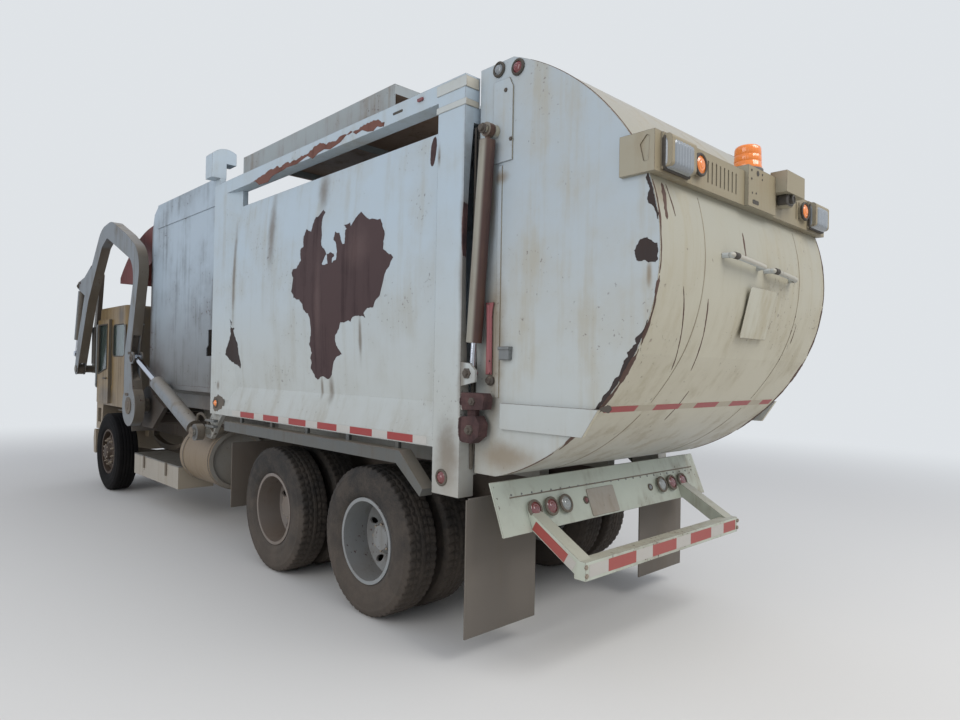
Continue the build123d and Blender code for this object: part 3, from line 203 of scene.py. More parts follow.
def paint(name, base, stain, dust, gloss=0.45, streaks=0.6, specks=1.0, bare=(), bare_edge=0.03,
          ragged=1.1, seed_scale=6.0, shadow=(), lows=0.75, metallic=0.0, edges=0.8, high=None,
          rear=None, rear_upper_shade=None, under=None, soiled=(0.20, 0.13, 0.07)):
    """Worn paint: base colour, stained by streaks, dusted, with rust in specks and bare patches.
    The high colour, blended in with height, is painted sky reflection, and the colour for the upper
    rear faces is painted shade.
    """
    material, tree, coords = blank(name)
    masks = put(tree, "ShaderNodeGroup", {"Vector": coords}, node_tree=weather).outputs
    rust = put(tree, "ShaderNodeGroup", {"Vector": coords}, node_tree=rusty)
    tone = base
    # Painted sky reflection: the high colour takes over towards the top
    if high:
        tone = colour_mix(tree, masks["High"], tone, high)
    # Rear faces: the rear colour, turning higher up to a painted shade colour
    if rear:
        back = colour_mix(tree, masks["High"], rear, rear_upper_shade or rear)
        tone = colour_mix(tree, masks["Rear"], tone, back)
    if under:
        tone = colour_mix(tree, masks["Under"], tone, under)
    tone = colour_mix(tree, calc(tree, "MULTIPLY", masks["Blotch"], 0.35), tone, stain)
    tone = colour_mix(tree, calc(tree, "MULTIPLY", masks["Streak"], streaks), tone, stain)
    if shadow:
        soft = blots(tree, coords, shadow, 0.9, 5.0, 0.9)
        tone = colour_mix(tree, calc(tree, "MULTIPLY", soft, 0.75), tone, soiled)
    tone = colour_mix(tree, calc(tree, "MULTIPLY", masks["Low"], lows), tone, dust)
    tone = colour_mix(tree, calc(tree, "MULTIPLY", masks["Up"], 0.55), tone, dust)
    rounded = put(tree, "ShaderNodeBevel", {"Radius": 0.004}, samples=4).outputs["Normal"]
    flat = put(tree, "ShaderNodeNewGeometry").outputs["Normal"]
    turn = put(tree, "ShaderNodeVectorMath", {0: rounded, 1: flat}, operation="DOT_PRODUCT")
    chips = calc(tree, "MULTIPLY", calc(tree, "SUBTRACT", 1.0, turn.outputs["Value"]), 9.0)
    chips = ramp(tree, calc(tree, "MULTIPLY", chips, noise(tree, coords, 14.0, 5.0, 0.7)),
                 0.30, 0.42)
    broken = calc(tree, "MULTIPLY", masks["Speck"], specks)
    broken = calc(tree, "MAXIMUM", broken, calc(tree, "MULTIPLY", chips, edges))
    if bare:
        broken = calc(tree, "MAXIMUM", broken,
                      blots(tree, coords, bare, ragged, seed_scale, bare_edge))
    tone = colour_mix(tree, broken, tone, rust.outputs["Color"])
    dull = calc(tree, "ADD", gloss, calc(tree, "MULTIPLY", masks["Streak"], 0.25))
    dull = calc(tree, "MAXIMUM", dull, calc(tree, "MULTIPLY", broken, 0.92))
    height = calc(tree, "MULTIPLY", calc(tree, "MULTIPLY", rust.outputs["Height"], broken), 0.6)
    height = calc(tree, "SUBTRACT", height, broken)
    height = calc(tree, "ADD", height, calc(tree, "MULTIPLY", masks["Grain"], 0.04))
    bump = put(tree, "ShaderNodeBump", {"Strength": 0.45, "Distance": 0.003, "Height": height,
                                        "Normal": rounded})
    shade(tree, {"Base Color": tone, "Roughness": dull, "Metallic": metallic,
                 "Normal": bump.outputs["Normal"]})
    return material


def plain(name, base, roughness, metallic=0.0, speckle=0.15, size=60.0, extra=None):
    """A clean material whose tone and gloss vary a little, with a fine grain."""
    material, tree, coords = blank(name)
    wear = put(tree, "ShaderNodeGroup", {"Vector": coords}, node_tree=weather)
    grain = noise(tree, coords, size, 4.0, 0.6)
    tone = colour_mix(tree, calc(tree, "MULTIPLY", grain, speckle * 2), base, DUST)
    tone = colour_mix(tree, calc(tree, "MULTIPLY", wear.outputs["Low"], speckle * 2.5), tone, DUST)
    dull = calc(tree, "ADD", roughness, calc(tree, "MULTIPLY", grain, speckle))
    bump = put(tree, "ShaderNodeBump", {"Strength": 0.2, "Distance": 0.001, "Height": grain})
    feeds = {"Base Color": tone, "Roughness": dull, "Metallic": metallic,
             "Normal": bump.outputs["Normal"]}
    feeds.update(extra or {})
    shade(tree, feeds)
    return material


def dress(material, *nodes):
    """Give CAD nodes their finished material."""
    for node in nodes:
        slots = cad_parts[node].data.materials
        slots.clear()
        slots.append(material)

# Body: welded steel sheet on folded posts, brushed with white paint that has gone chalky. The
# tailgate's rolled back is creamier, with painted shade on its upper part. The hopper is dark grey
# low down; it, the walls and the tailgate's sides turn pale blue-grey towards the top, a painted
# reflection of the sky.
WHITE = (0.45, 0.475, 0.46)
PAINTED_SKY_WHITE = (0.40, 0.475, 0.53)
STAIN = (0.35, 0.34, 0.29)
CREAM = (0.36, 0.31, 0.21)
DUST = (0.30, 0.245, 0.18)
off_white = paint("off white paint", WHITE, STAIN, DUST, streaks=0.4, rear=(0.42, 0.39, 0.32))
# Hopper: dark grey, with a pale blue high colour that is painted sky reflection
hopper_paint = paint(
    "hopper paint", (0.15, 0.155, 0.155), (0.085, 0.078, 0.068), DUST, streaks=0.35,
    high=(0.36, 0.43, 0.49),
    shadow=[(4.55, 1.12, 1.5, 0.45, 0.3, 0.55), (4.8, 1.12, 2.6, 0.10, 0.3, 1.2),
            (3.3, 1.12, 1.25, 0.5, 0.3, 0.3)],
    soiled=(0.07, 0.05, 0.04))
# Body walls: the bluer white high up is painted sky reflection
body_paint = paint(
    "body paint", WHITE, STAIN, DUST, streaks=0.35, specks=0.5, high=PAINTED_SKY_WHITE, ragged=0.8,
    shadow=[(0.62, 1.11, 1.56, 0.06, 0.3, 0.16), (0.76, 1.11, 1.56, 0.03, 0.3, 0.13),
            (1.62, 1.11, 2.9, 0.10, 0.3, 0.5), (0.2, 1.11, 1.95, 0.03, 0.3, 0.25),
            (2.36, 1.14, 2.55, 0.05, 0.3, 0.65), (-0.83, 1.17, 1.2, 0.15, 0.2, 0.32),
            (-0.81, 1.17, 1.2, 0.13, 0.2, 0.30), (0.78, 1.11, 3.12, 0.12, 0.3, 0.22),
            (-0.94, 1.14, 2.45, 0.05, 0.16, 1.15), (-0.94, 1.14, 1.9, 0.05, 0.16, 0.9),
            (-0.695, 1.17, 3.06, 0.022, 0.2, 0.10), (-1.06, 1.13, 1.47, 0.14, 0.2, 0.34),
            (2.62, 1.17, 1.52, 0.05, 0.2, 0.06)],
    bare=[(-1.07, 1.14, 1.545, 0.15, 0.3, 0.10), (-1.04, 1.14, 1.365, 0.13, 0.3, 0.12),
          (-0.945, 1.14, 2.56, 0.03, 0.11, 0.20), (-0.571, 1.113, 3.13, 0.03, 0.1, 0.10)],
    soiled=(0.12, 0.088, 0.055))
# Tailgate: its high colour is painted sky reflection on the sides, and the darker colour for the
# upper back is painted shade
gate_paint = paint(
    "tailgate paint", WHITE, CREAM, DUST, streaks=0.4, specks=0.5, high=(0.385, 0.44, 0.475),
    rear=(0.52, 0.48, 0.365), rear_upper_shade=(0.33, 0.315, 0.25),
    shadow=[(-1.065, 1.06, 2.75, 0.05, 0.2, 0.5), (-1.10, 1.06, 1.9, 0.12, 0.2, 0.75),
            (-2.15, 1.06, 2.20, 0.022, 0.1, 0.10), (-2.19, 1.0, 2.62, 0.05, 0.1, 0.13),
            (-1.2, 1.06, 1.22, 0.4, 0.2, 0.13), (-1.13, 1.06, 2.86, 0.10, 0.2, 0.06)],
    soiled=(0.20, 0.145, 0.08))
bar_paint = paint("light bar paint", (0.31, 0.28, 0.205), (0.26, 0.20, 0.12), DUST, streaks=0.6,
                  rear=(0.27, 0.225, 0.14))
lid_paint = paint("lid paint", (0.27, 0.30, 0.305), (0.17, 0.12, 0.08), DUST, specks=1.0,
                  streaks=0.6, under=(0.26, 0.17, 0.12))
blade_steel = paint("scraped steel", (0.20, 0.17, 0.14), (0.13, 0.075, 0.05), DUST,
                    specks=3.0, metallic=0.3)
maroon = paint("shield paint", (0.14, 0.028, 0.024), (0.09, 0.04, 0.03), DUST, gloss=0.5)
dress(body_paint, "load_body")
dress(hopper_paint, "hopper")
dress(gate_paint, "tailgate")
dress(bar_paint, "light_bar")
dress(lid_paint, "top_door")
dress(blade_steel, "packer_blade")
dress(maroon, "cab_shield")

# Chassis: pressed steel rails and cast axles under black paint, a rolled tank, zinc-grey fenders,
# rubber flaps, and the pale lamp panel bolted on behind.
frame_black = paint("frame paint", (0.022, 0.021, 0.020), (0.065, 0.05, 0.04),
                    (0.13, 0.10, 0.075), gloss=0.6, lows=0.7)
cast_iron = paint("cast iron", (0.05, 0.044, 0.038), (0.09, 0.065, 0.045),
                  (0.15, 0.12, 0.085), gloss=0.7, specks=2.0)
tank_paint = paint("tank paint", (0.165, 0.11, 0.055), (0.15, 0.10, 0.055), DUST, specks=0.4,
                   lows=0.3, rear=(0.25, 0.25, 0.235), shadow=[(3.3, 0.95, 1.02, 0.6, 0.5, 0.16)],
                   soiled=(0.03, 0.025, 0.02))
panel_paint = paint("panel paint", (0.50, 0.55, 0.46), (0.20, 0.16, 0.11),
                    (0.30, 0.26, 0.20), streaks=0.5, specks=0.8, lows=0.3)
galvanised = paint("galvanised", (0.20, 0.21, 0.21), (0.11, 0.10, 0.085),
                   (0.20, 0.17, 0.13), gloss=0.4, specks=0.2, metallic=0.4, lows=0.25, edges=0.1)
fender_grey = paint("fender grey", (0.09, 0.10, 0.10), (0.085, 0.075, 0.06), DUST, gloss=0.4,
                    specks=0.3, metallic=0.3, lows=0.25, edges=0.1)
flap_rubber = paint("flap rubber", (0.115, 0.112, 0.105), (0.17, 0.155, 0.13),
                    (0.14, 0.115, 0.09), gloss=0.75, streaks=0.9, specks=0.0, edges=0.0,
                    shadow=[(2.18, 1.0, 0.7, 0.25, 0.9, 0.6)], soiled=(0.085, 0.05, 0.035))
dress(frame_black, "chassis_frame")
dress(cast_iron, "engine_block", "drive_axles", "front_axle", "knuckle_left", "knuckle_right")
dress(tank_paint, "side_tanks")
dress(off_white, "battery_box")
dress(panel_paint, "light_panel")
dress(fender_grey, "fender_rails")
dress(flap_rubber, "mud_flaps")

# Wheel discs: pressed steel, painted grey behind and gone brown with brake dust in front. The
# rear discs are lighter and bluer than the middle ones, partly a painted lens flare.
rim_paint = paint("rim paint", (0.24, 0.24, 0.235), (0.13, 0.085, 0.055),
                  (0.15, 0.11, 0.08), gloss=0.55, lows=0.7, streaks=0.7, specks=1.5)
brown_rim = paint("brown rim", (0.055, 0.032, 0.018), (0.045, 0.024, 0.013),
                  (0.05, 0.032, 0.02), gloss=0.6, streaks=0.8, specks=2.0)
# Rear discs: grey steel, made lighter and bluer by a painted lens flare
grey_rim_and_flare = paint("grey rim and painted flare", (0.27, 0.30, 0.31), (0.15, 0.13, 0.11), (0.18, 0.16, 0.14),
                 gloss=0.5, lows=0.4, streaks=0.5, specks=1.0)
for wheel, coat in (("front", brown_rim), ("middle", rim_paint), ("rear", grey_rim_and_flare)):
    dress(coat, f"rim_{wheel}_left", f"rim_{wheel}_right")

# Arms and cylinders: box beams cut from plate, their paint worn and greasy, the forks scraped
# nearly bare, and hard-chromed rods in painted barrels.
arm_paint = paint("arm paint", (0.17, 0.19, 0.205), (0.13, 0.115, 0.095), DUST, specks=1.4,
                  streaks=0.9, lows=0.2, rear=(0.105, 0.085, 0.062), edges=1.0)
fork_paint = paint("fork paint", (0.15, 0.14, 0.115), (0.07, 0.05, 0.035), DUST,
                   specks=2.0, streaks=1.0, rear=(0.07, 0.055, 0.042))
barrel_paint = paint("barrel paint", (0.25, 0.235, 0.19), (0.10, 0.05, 0.03), DUST,
                     specks=2.5, streaks=1.0, lows=0.3, rear=(0.055, 0.024, 0.018))
chrome = plain("hard chrome", (0.62, 0.65, 0.70), 0.12, metallic=1.0, speckle=0.06)
dress(arm_paint, "lift_arms", "lift_barrels", "fork_barrels")
dress(fork_paint, "forks")
dress(barrel_paint, "gate_barrels")
dress(chrome, "lift_rods", "fork_rods", "gate_rods")

# Cab: pressed steel, its cream paint gone brown, with tinted glass, black mirrors and grey trim.
cab_paint = paint("cab paint", (0.205, 0.13, 0.042), (0.12, 0.08, 0.038), DUST, gloss=0.35,
                  specks=0.5, streaks=0.8, rear=(0.10, 0.085, 0.065),
                  shadow=[(6.05, 1.1, 2.36, 0.18, 0.4, 0.22), (6.6, 1.1, 1.25, 0.5, 0.3, 0.2)],
                  soiled=(0.035, 0.028, 0.022))
black_plastic = plain("black plastic", (0.022, 0.022, 0.023), 0.42)
grey_trim = plain("grey trim", (0.09, 0.09, 0.09), 0.6)
screen_glass = plain("tinted glass", (0.10, 0.17, 0.15), 0.05, speckle=0.03,
                     extra={"Transmission Weight": 0.85, "IOR": 1.45})
screen_glass.node_tree.nodes["Principled BSDF"].inputs["Alpha"].default_value = 0.75
dress(cab_paint, "cab_shell", "door_left", "door_right", "front_bumper")
dress(black_plastic, "mirrors")
dress(grey_trim, "cab_interior")
dress(screen_glass, "cab_glass")

# Tyres: 11R22.5 radials, ribbed in front and lugged behind, moulded rubber gone brown with dust.
# The front tyres are a near-black, barely dusted, less glossy copy of it: painted shade. Each is
# one surface of a side profile carried round the axle, its tread pressed in by depth.
TYRE_RADIUS, TREAD_HALF, TREAD_DEPTH = 0.518, 0.104, 0.011
SIDE = [(0.093, 0.2865), (0.099, 0.288), (0.100, 0.2985), (0.108, 0.303), (0.121, 0.330),
        (0.1285, 0.352), (0.1275, 0.356), (0.133, 0.385), (0.135, 0.412), (0.133, 0.440),
        (0.128, 0.466), (0.1295, 0.470), (0.126, 0.476), (0.119, 0.492), (0.1135, 0.503),
        (0.109, 0.5105)]


def mesh_object(name, points, faces, material, smooth=True):
    """An object from a point array and faces, at the origin, with one material."""
    mesh = bpy.data.meshes.new(name)
    mesh.from_pydata(points.tolist(), [], faces.tolist() if hasattr(faces, "tolist") else faces)
    mesh.validate()
    mesh.materials.append(material)
    mesh.polygons.foreach_set("use_smooth", np.full(len(mesh.polygons), smooth))
    item = bpy.data.objects.new(name, mesh)
    bpy.context.scene.collection.objects.link(item)
    return item


def grid_faces(rows, columns, close_rows=False, close_columns=False):
    """Quads of a grid of points, joined end to end where it closes."""
    r = np.arange(rows if close_rows else rows - 1)
    c = np.arange(columns if close_columns else columns - 1)
    r, c = np.meshgrid(r, c, indexing="ij")
    r2, c2 = (r + 1) % rows, (c + 1) % columns
    return np.stack([r * columns + c, r * columns + c2, r2 * columns + c2, r2 * columns + c],
                    axis=-1).reshape(-1, 4)


def tyre_points(turns, samples, lugged):
    """Points (turn, profile, 3) about the Y axis. On the tread, r = R - depth * groove(angle, y)."""
    side = np.array(SIDE)
    across = np.linspace(TREAD_HALF, -TREAD_HALF, 33)
    crown = TYRE_RADIUS - 0.004 * (across / TREAD_HALF) ** 2
    profile = np.concatenate([side, np.stack([across, crown], 1), side[::-1] * (-1, 1)])
    angle = np.linspace(0, 2 * pi, turns * samples, endpoint=False)[:, None]
    y, r = profile[None, :, 0], profile[None, :, 1]
    tread = np.zeros(len(profile))
    tread[len(side):len(side) + 33] = 1
    ribs = np.max([np.clip(1.4 - np.abs(y - g) / 0.0045, 0, 1) for g in (-0.058, -0.02, 0.02,
                                                                         0.058)], axis=0)
    groove = ribs + 0 * angle
    if lugged:
        zigzag = 0.22 * np.abs((np.abs(y) / 0.052) % 2 - 1)
        phase = (angle * turns / (2 * pi) + zigzag + 0.5 * (y > 0)) % 1
        cut = np.clip((0.17 - np.abs(phase - 0.5)) / 0.06, 0, 1)
        groove = np.maximum(groove, cut * np.where(np.abs(y) > 0.018, 1, 0.3))
        shoulder = np.clip((r - 0.484) / 0.02, 0, 1) * (1 - tread)
        r = r - 0.007 * cut * shoulder
    r = r - TREAD_DEPTH * groove * tread
    y = y + 0 * angle
    return np.stack([r * np.sin(angle), y, r * np.cos(angle)], axis=-1)


def tyre_rubber(name, dark, dust, low_share):
    """Black rubber, brown with dust in clouds and towards the ground."""
    material, tree, coords = blank(name)
    cloud = noise(tree, coords, 5.0, 6.0, 0.7)
    grain = noise(tree, coords, 90.0, 3.0, 0.6)
    height = put(tree, "ShaderNodeSeparateXYZ", {0: coords}).outputs["Z"]
    low = ramp(tree, calc(tree, "SUBTRACT", calc(tree, "MULTIPLY", cloud, 0.5), height),
               -0.75, 0.2)
    dusty = ramp(tree, calc(tree, "MULTIPLY", cloud, calc(tree, "ADD", grain, 0.6)), 0.32, 0.85)
    tone = colour_mix(tree, dusty, dark, dust)
    tone = colour_mix(tree, calc(tree, "MULTIPLY", low, low_share), tone, (0.13, 0.10, 0.075))
    bump = put(tree, "ShaderNodeBump", {"Strength": 0.35, "Distance": 0.002, "Height": grain})
    shade(tree, {"Base Color": tone, "Roughness": 0.82, "Normal": bump.outputs["Normal"]})
    return material


rubber = tyre_rubber("dusty rubber", (0.012, 0.011, 0.010), (0.050, 0.039, 0.030), 0.40)
# Front tyres: a darker, barely dusted copy of the rubber with less sheen, painted shade
shaded_front_rubber = tyre_rubber("front rubber painted shade", (0.002, 0.002, 0.0025), (0.008, 0.007, 0.007), 0.02)
shaded_front_rubber.node_tree.nodes["Principled BSDF"].inputs["Specular IOR Level"].default_value = 0.15
AXLES = {"front": (6.151, (1.085,)), "middle": (1.370, (1.085, 0.755)),
         "rear": (0.0, (1.085, 0.755))}
for wheel, (station, planes) in AXLES.items():
    lugged = wheel != "front"
    one = tyre_points(54, 6, lugged) if lugged else tyre_points(48, 4, False)
    turns, columns = one.shape[:2]
    for side, sign in SIDES:
        points, faces = [], []
        for plane in planes:
            turned = one * (1, sign, 1) + (at(station), sign * plane, TYRE_RADIUS)
            ring = grid_faces(turns, columns, close_rows=True, close_columns=True)
            faces.append((ring if sign > 0 else ring[:, ::-1]) + len(points) * turns * columns)
            points.append(turned.reshape(-1, 3))
        tyre = mesh_object(f"tread_{wheel}_{side}", np.concatenate(points),
                           np.concatenate(faces), rubber if lugged else shaded_front_rubber)
        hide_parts(f"tyre_{wheel}_{side}")
        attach(tyre, f"wheel_{wheel}_{side}")

# Fittings: small hard pieces are turned, cut from plate or bent from tube, each from one profile.
# They are bolted or welded to the body that they ride on.


def lathe(profile, steps=28):
    """Points and faces of (along, radius) rows turned about X: (a, r cos t, r sin t). A radius of
    0 closes an end in a pole."""
    along, radius = np.array(profile, float).T
    turn = np.linspace(0, 2 * pi, steps, endpoint=False)
    points = np.stack([along[:, None] + 0 * turn, radius[:, None] * np.cos(turn),
                       radius[:, None] * np.sin(turn)], axis=-1).reshape(-1, 3)
    index = np.arange(len(points)).reshape(len(profile), steps)
    index[radius == 0] = index[radius == 0][:, :1]
    if tuple(profile[0]) == tuple(profile[-1]):
        points, index[-1] = points[:-steps], index[0]
    return points, shells(index)


def shells(index):
    """Faces between the successive rows of a closed grid of point numbers, facing outward."""
    nxt = np.roll(index, -1, axis=1)
    quads = np.stack([index[:-1], nxt[:-1], nxt[1:], index[1:]], axis=-1).reshape(-1, 4)
    return [face for face in (tuple(dict.fromkeys(quad)) for quad in quads.tolist())
            if len(face) > 2]


def slab(outline, depth, bevel=0.003):
    """Plate with bevelled rims: the anticlockwise (y, z) outline carried along X from 0 to depth."""
    edge = np.array(outline, float)
    ahead = np.roll(edge, -1, axis=0) - edge
    out = np.stack([ahead[:, 1], -ahead[:, 0]], axis=1)
    out /= np.linalg.norm(out, axis=1, keepdims=True)
    both = out + np.roll(out, 1, axis=0)
    inset = edge - bevel * both / (1 + (out * np.roll(out, 1, axis=0)).sum(1))[:, None]
    rows = [(0, inset), (bevel, edge), (depth - bevel, edge), (depth, inset)]
    points = np.concatenate([np.column_stack([np.full(len(ring), x), ring]) for x, ring in rows])
    index = np.arange(len(points)).reshape(4, len(edge))
    return points, shells(index) + [tuple(index[-1].tolist()), tuple(index[0][::-1].tolist())]


def rounded(half_wide, half_high, radius, steps=5):
    """Anticlockwise outline of a rectangle with rounded corners, about its middle."""
    turns = np.linspace(0, pi / 2, steps)
    return np.concatenate([np.column_stack([
        sy * (half_wide - radius) + radius * np.cos(turns + start),
        sz * (half_high - radius) + radius * np.sin(turns + start)])
        for sy, sz, start in ((1, 1, 0), (-1, 1, pi / 2), (-1, -1, pi), (1, -1, 3 * pi / 2))])


def smooth(stops, count=8):
    """A curve through its stops: Catmull-Rom, cubic between each pair."""
    p = np.array(stops, float)
    p = np.concatenate([2 * p[:1] - p[1:2], p, 2 * p[-1:] - p[-2:-1]])
    t = np.linspace(0, 1, count, endpoint=False)[:, None]
    runs = [0.5 * (2 * b + (c - a) * t + (2 * a - 5 * b + 4 * c - d) * t ** 2
                   + (3 * b - a - 3 * c + d) * t ** 3) for a, b, c, d in
            zip(p, p[1:], p[2:], p[3:])]
    return np.concatenate(runs + [p[-2:-1]])


def tube(path, radius, sides=10):
    """Round bar along a path, with rounded ends. Each ring lies across the path's direction, its
    frame carried on from the last one."""
    path = np.array(path, float)
    ahead = np.gradient(path, axis=0)
    ahead /= np.linalg.norm(ahead, axis=1, keepdims=True)
    side = np.cross(ahead[0], (0.12, 0.31, 0.94))
    turn = np.linspace(0, 2 * pi, sides, endpoint=False)[:, None]
    rings, ends = [], (path[0] - ahead[0] * radius * 0.5, path[-1] + ahead[-1] * radius * 0.5)
    for place, way in zip(path, ahead):
        side = side - way * (side @ way)
        side /= np.linalg.norm(side)
        rings.append(place + radius * (np.cos(turn) * side + np.sin(turn) * np.cross(way, side)))
    rings = [np.repeat(ends[:1], sides, 0)] + rings + [np.repeat(ends[1:], sides, 0)]
    points = np.concatenate(rings)
    index = np.arange(len(points)).reshape(-1, sides)
    index[[0, -1]] = index[[0, -1]][:, :1]
    return points, shells(index)


def stand(shape, place, along, up=(0, 0, 1)):
    """A shape moved so that its X points along, its Z as near up as it can, at (station, y, z)."""
    x = np.array(along, float) / np.linalg.norm(along)
    y = np.cross(up, x)
    y /= np.linalg.norm(y)
    turn = np.array([x, y, np.cross(x, y)])
    return shape[0] @ turn + (at(place[0]), place[1], place[2]), shape[1]


def turned(profile, steps, place, along, up=(0, 0, 1)):
    """A lathe piece, placed."""
    return stand(lathe(profile, steps), place, along, up)


def plate(edge, depth, bevel, place, along, up=(0, 0, 1)):
    """A plate with rounded corners, its edge given as half width, half height and radius."""
    return stand(slab(rounded(*edge), depth, bevel), place, along, up)


def fit(name, shapes, material, body, sharp=35):
    """One piece of several shapes, smooth but for its sharp edges, riding on a body."""
    points, faces, start = [], [], 0
    for shape_points, shape_faces in shapes:
        faces += [tuple(i + start for i in face) for face in shape_faces]
        points.append(shape_points)
        start += len(shape_points)
    item = mesh_object(name, np.concatenate(points), faces, material)
    item.data.set_sharp_from_angle(angle=radians(sharp))
    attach(item, body)
    return item


AHEAD, BACK = (1, 0, 0), (-1, 0, 0)
NUT = [(0, 0), (0, 0.019), (0.004, 0.0195), (0.020, 0.0175), (0.024, 0.011), (0.024, 0)]
STUD = [(0.020, 0), (0.020, 0.011), (0.036, 0.011), (0.038, 0.009), (0.038, 0)]
BOLT = [(0, 0), (0, 0.013), (0.008, 0.013), (0.010, 0.010), (0.010, 0)]

# Wheel nuts: ten hexagon nuts of dusty steel, screwed onto studs round each hub, and eight bolts
# that hold the hub's cap
NUT_PITCH, NUTS = 0.1675, 10
CAP_PITCH, CAP_BOLTS = 0.090, 8
nut_steel = paint("nut steel", (0.30, 0.27, 0.23), (0.20, 0.13, 0.09), DUST, gloss=0.6,
                  metallic=0.3, specks=2.0)
HUBS = {"front": (6.151, 1.085 + 0.088, 1.085 + 0.140), "middle": (1.370, 0.92 + 0.012, 0.92 + 0.140),
        "rear": (0.0, 0.92 + 0.012, 0.92 + 0.140)}
for wheel, (station, seat, cap) in HUBS.items():
    for side, sign in SIDES:
        shapes = []
        for k in range(NUTS):
            a = 2 * pi * (k + 0.5) / NUTS
            x, z = station + NUT_PITCH * cos(a), TYRE_RADIUS + NUT_PITCH * sin(a)
            for profile, steps in ((NUT, 6), (STUD, 10)):
                shapes.append(turned(profile, steps, (x, sign * seat, z), (0, sign, 0)))
        for k in range(CAP_BOLTS):
            a = 2 * pi * k / CAP_BOLTS
            x, z = station + CAP_PITCH * cos(a), TYRE_RADIUS + CAP_PITCH * sin(a)
            shapes.append(turned(BOLT, 6, (x, sign * (cap - 0.004), z), (0, sign, 0)))
        fit(f"nuts_{wheel}_{side}", shapes, nut_steel, f"wheel_{wheel}_{side}")

# Lamps: round lenses moulded of clear coloured plastic with rings in them, each pressed into a
# rubber ring on its panel


def lens(name, colour, glow):
    """Clear coloured plastic over a reflector, ribbed inside."""
    material = plain(name, colour, 0.18, speckle=0.05, size=30.0)
    shader = material.node_tree.nodes["Principled BSDF"]
    shader.inputs["Coat Weight"].default_value = 0.8
    shader.inputs["Coat Roughness"].default_value = 0.08
    shader.inputs["Emission Color"].default_value = (*colour, 1)
    shader.inputs["Emission Strength"].default_value = glow
    return material


amber_lens = lens("amber lens", (0.78, 0.20, 0.015), 0.10)
red_lens = lens("red lens", (0.15, 0.014, 0.020), 0.02)
clear_lens = lens("clear lens", (0.25, 0.27, 0.26), 0.0)
work_lens = lens("work lens", (0.20, 0.22, 0.235), 0.0)
gasket = plain("gasket rubber", (0.018, 0.017, 0.016), 0.7)
grime = paint("greasy grime", (0.085, 0.07, 0.055), (0.045, 0.035, 0.028), DUST, gloss=0.7,
              specks=3.0)


def round_lamp(name, place, along, radius, material, body, ring=0.013, rise=0.012):
    """A domed lens with three moulded rings, in a rubber ring."""
    steps = np.linspace(0, 1, 10)
    ripple = 0.0012 * np.cos(steps * 6 * pi)
    dome = [(0, radius)] + [(rise * (1 - u * u) + w, radius * u) for u, w in
                            zip(steps[::-1], ripple[::-1])]
    fit(name, [turned([(-0.002, 0), (-0.002, radius)] + dome[1:-1] + [(rise + 0.001, 0)], 32, place,
                      along)], material, body)
    band = [(-0.004, radius), (-0.004, radius + ring), (0.004, radius + ring),
            (0.009, radius + ring * 0.5), (0.006, radius - 0.002), (-0.004, radius)]
    fit(f"{name}_ring", [turned(band, 32, place, along)], gasket, body)


TILT = (-0.926, 0, 0.377)
for side, sign in SIDES:
    for number, (y, glass) in enumerate(((0.85, red_lens), (0.70, red_lens), (0.56, clear_lens))):
        round_lamp(f"tail_lamp_{side}_{number}", (-1.2655, sign * y, 0.898), TILT, 0.046, glass,
                   "chassis")
    round_lamp(f"bar_lamp_{side}", (-2.2125, sign * 0.69, 2.798), BACK, 0.048, amber_lens,
               "tailgate")
    round_lamp(f"top_lamp_dark_{side}", (-1.109, sign * 1.066, 3.512), (0, sign, 0), 0.034,
               work_lens, "tailgate", rise=0.02)
    round_lamp(f"top_lamp_red_{side}", (-1.263, sign * 1.066, 3.480), (0, sign, 0), 0.036,
               red_lens, "tailgate", rise=0.02)
    round_lamp(f"marker_rear_{side}", (-0.773, sign * 1.172, 1.055), (0, sign, 0), 0.040,
               red_lens, "chassis", rise=0.02)
    round_lamp(f"marker_front_{side}", (2.661, sign * 1.172, 1.344), (0, sign, 0), 0.034,
               amber_lens, "chassis", rise=0.02)

# Light panel: a riveted seam along its top, a blank pressed number plate and two small lamps.
# Bolts hold the under-ride bar to its struts
BAR_BOLT = [(0, 0), (0, 0.014), (0.008, 0.014), (0.010, 0.010), (0.010, 0)]
BAR_BOLT_PLACES = [(0.90, 0.654), (0.895, 0.605)]


def on_panel(y, z):
    """A point of the light panel's face at a height: x = -1.2290 - (0.930 - z) * 0.377 / 0.926."""
    return (-1.2290 - (0.930 - z) * 0.407, y, z)


fit("panel_rivets", [turned([(0, 0), (0, 0.007), (0.003, 0.006), (0.005, 0)], 8,
                            on_panel(y, 0.990 - 0.018 * (1 - y)), TILT)
                     for y in np.linspace(1.0, -1.06, 24)], galvanised, "chassis")
seam = slab(rounded(1.05, 0.004, 0.002), 0.0025, 0.001)
fit("panel_seam", [stand(seam, on_panel(-0.03, 0.976), TILT)], grime, "chassis")
plate_tin = paint("plate tin", (0.33, 0.33, 0.30), (0.13, 0.11, 0.09), DUST, specks=3.0)
fit("number_plate", [plate((0.150, 0.090, 0.012), 0.004, 0.0015, on_panel(0.161, 0.867), TILT)],
    plate_tin, "chassis")
round_lamp("panel_lamp_red", on_panel(0.336, 0.887), TILT, 0.020, red_lens, "chassis", ring=0.006)
round_lamp("panel_lamp_dark", on_panel(-0.425, 0.888), TILT, 0.020, work_lens, "chassis",
           ring=0.006)
fit("bar_bolts", [turned(BAR_BOLT, 6, (-1.680, sign * y, z), BACK)
                  for sign in (1, -1) for y, z in BAR_BOLT_PLACES],
    grime, "chassis")

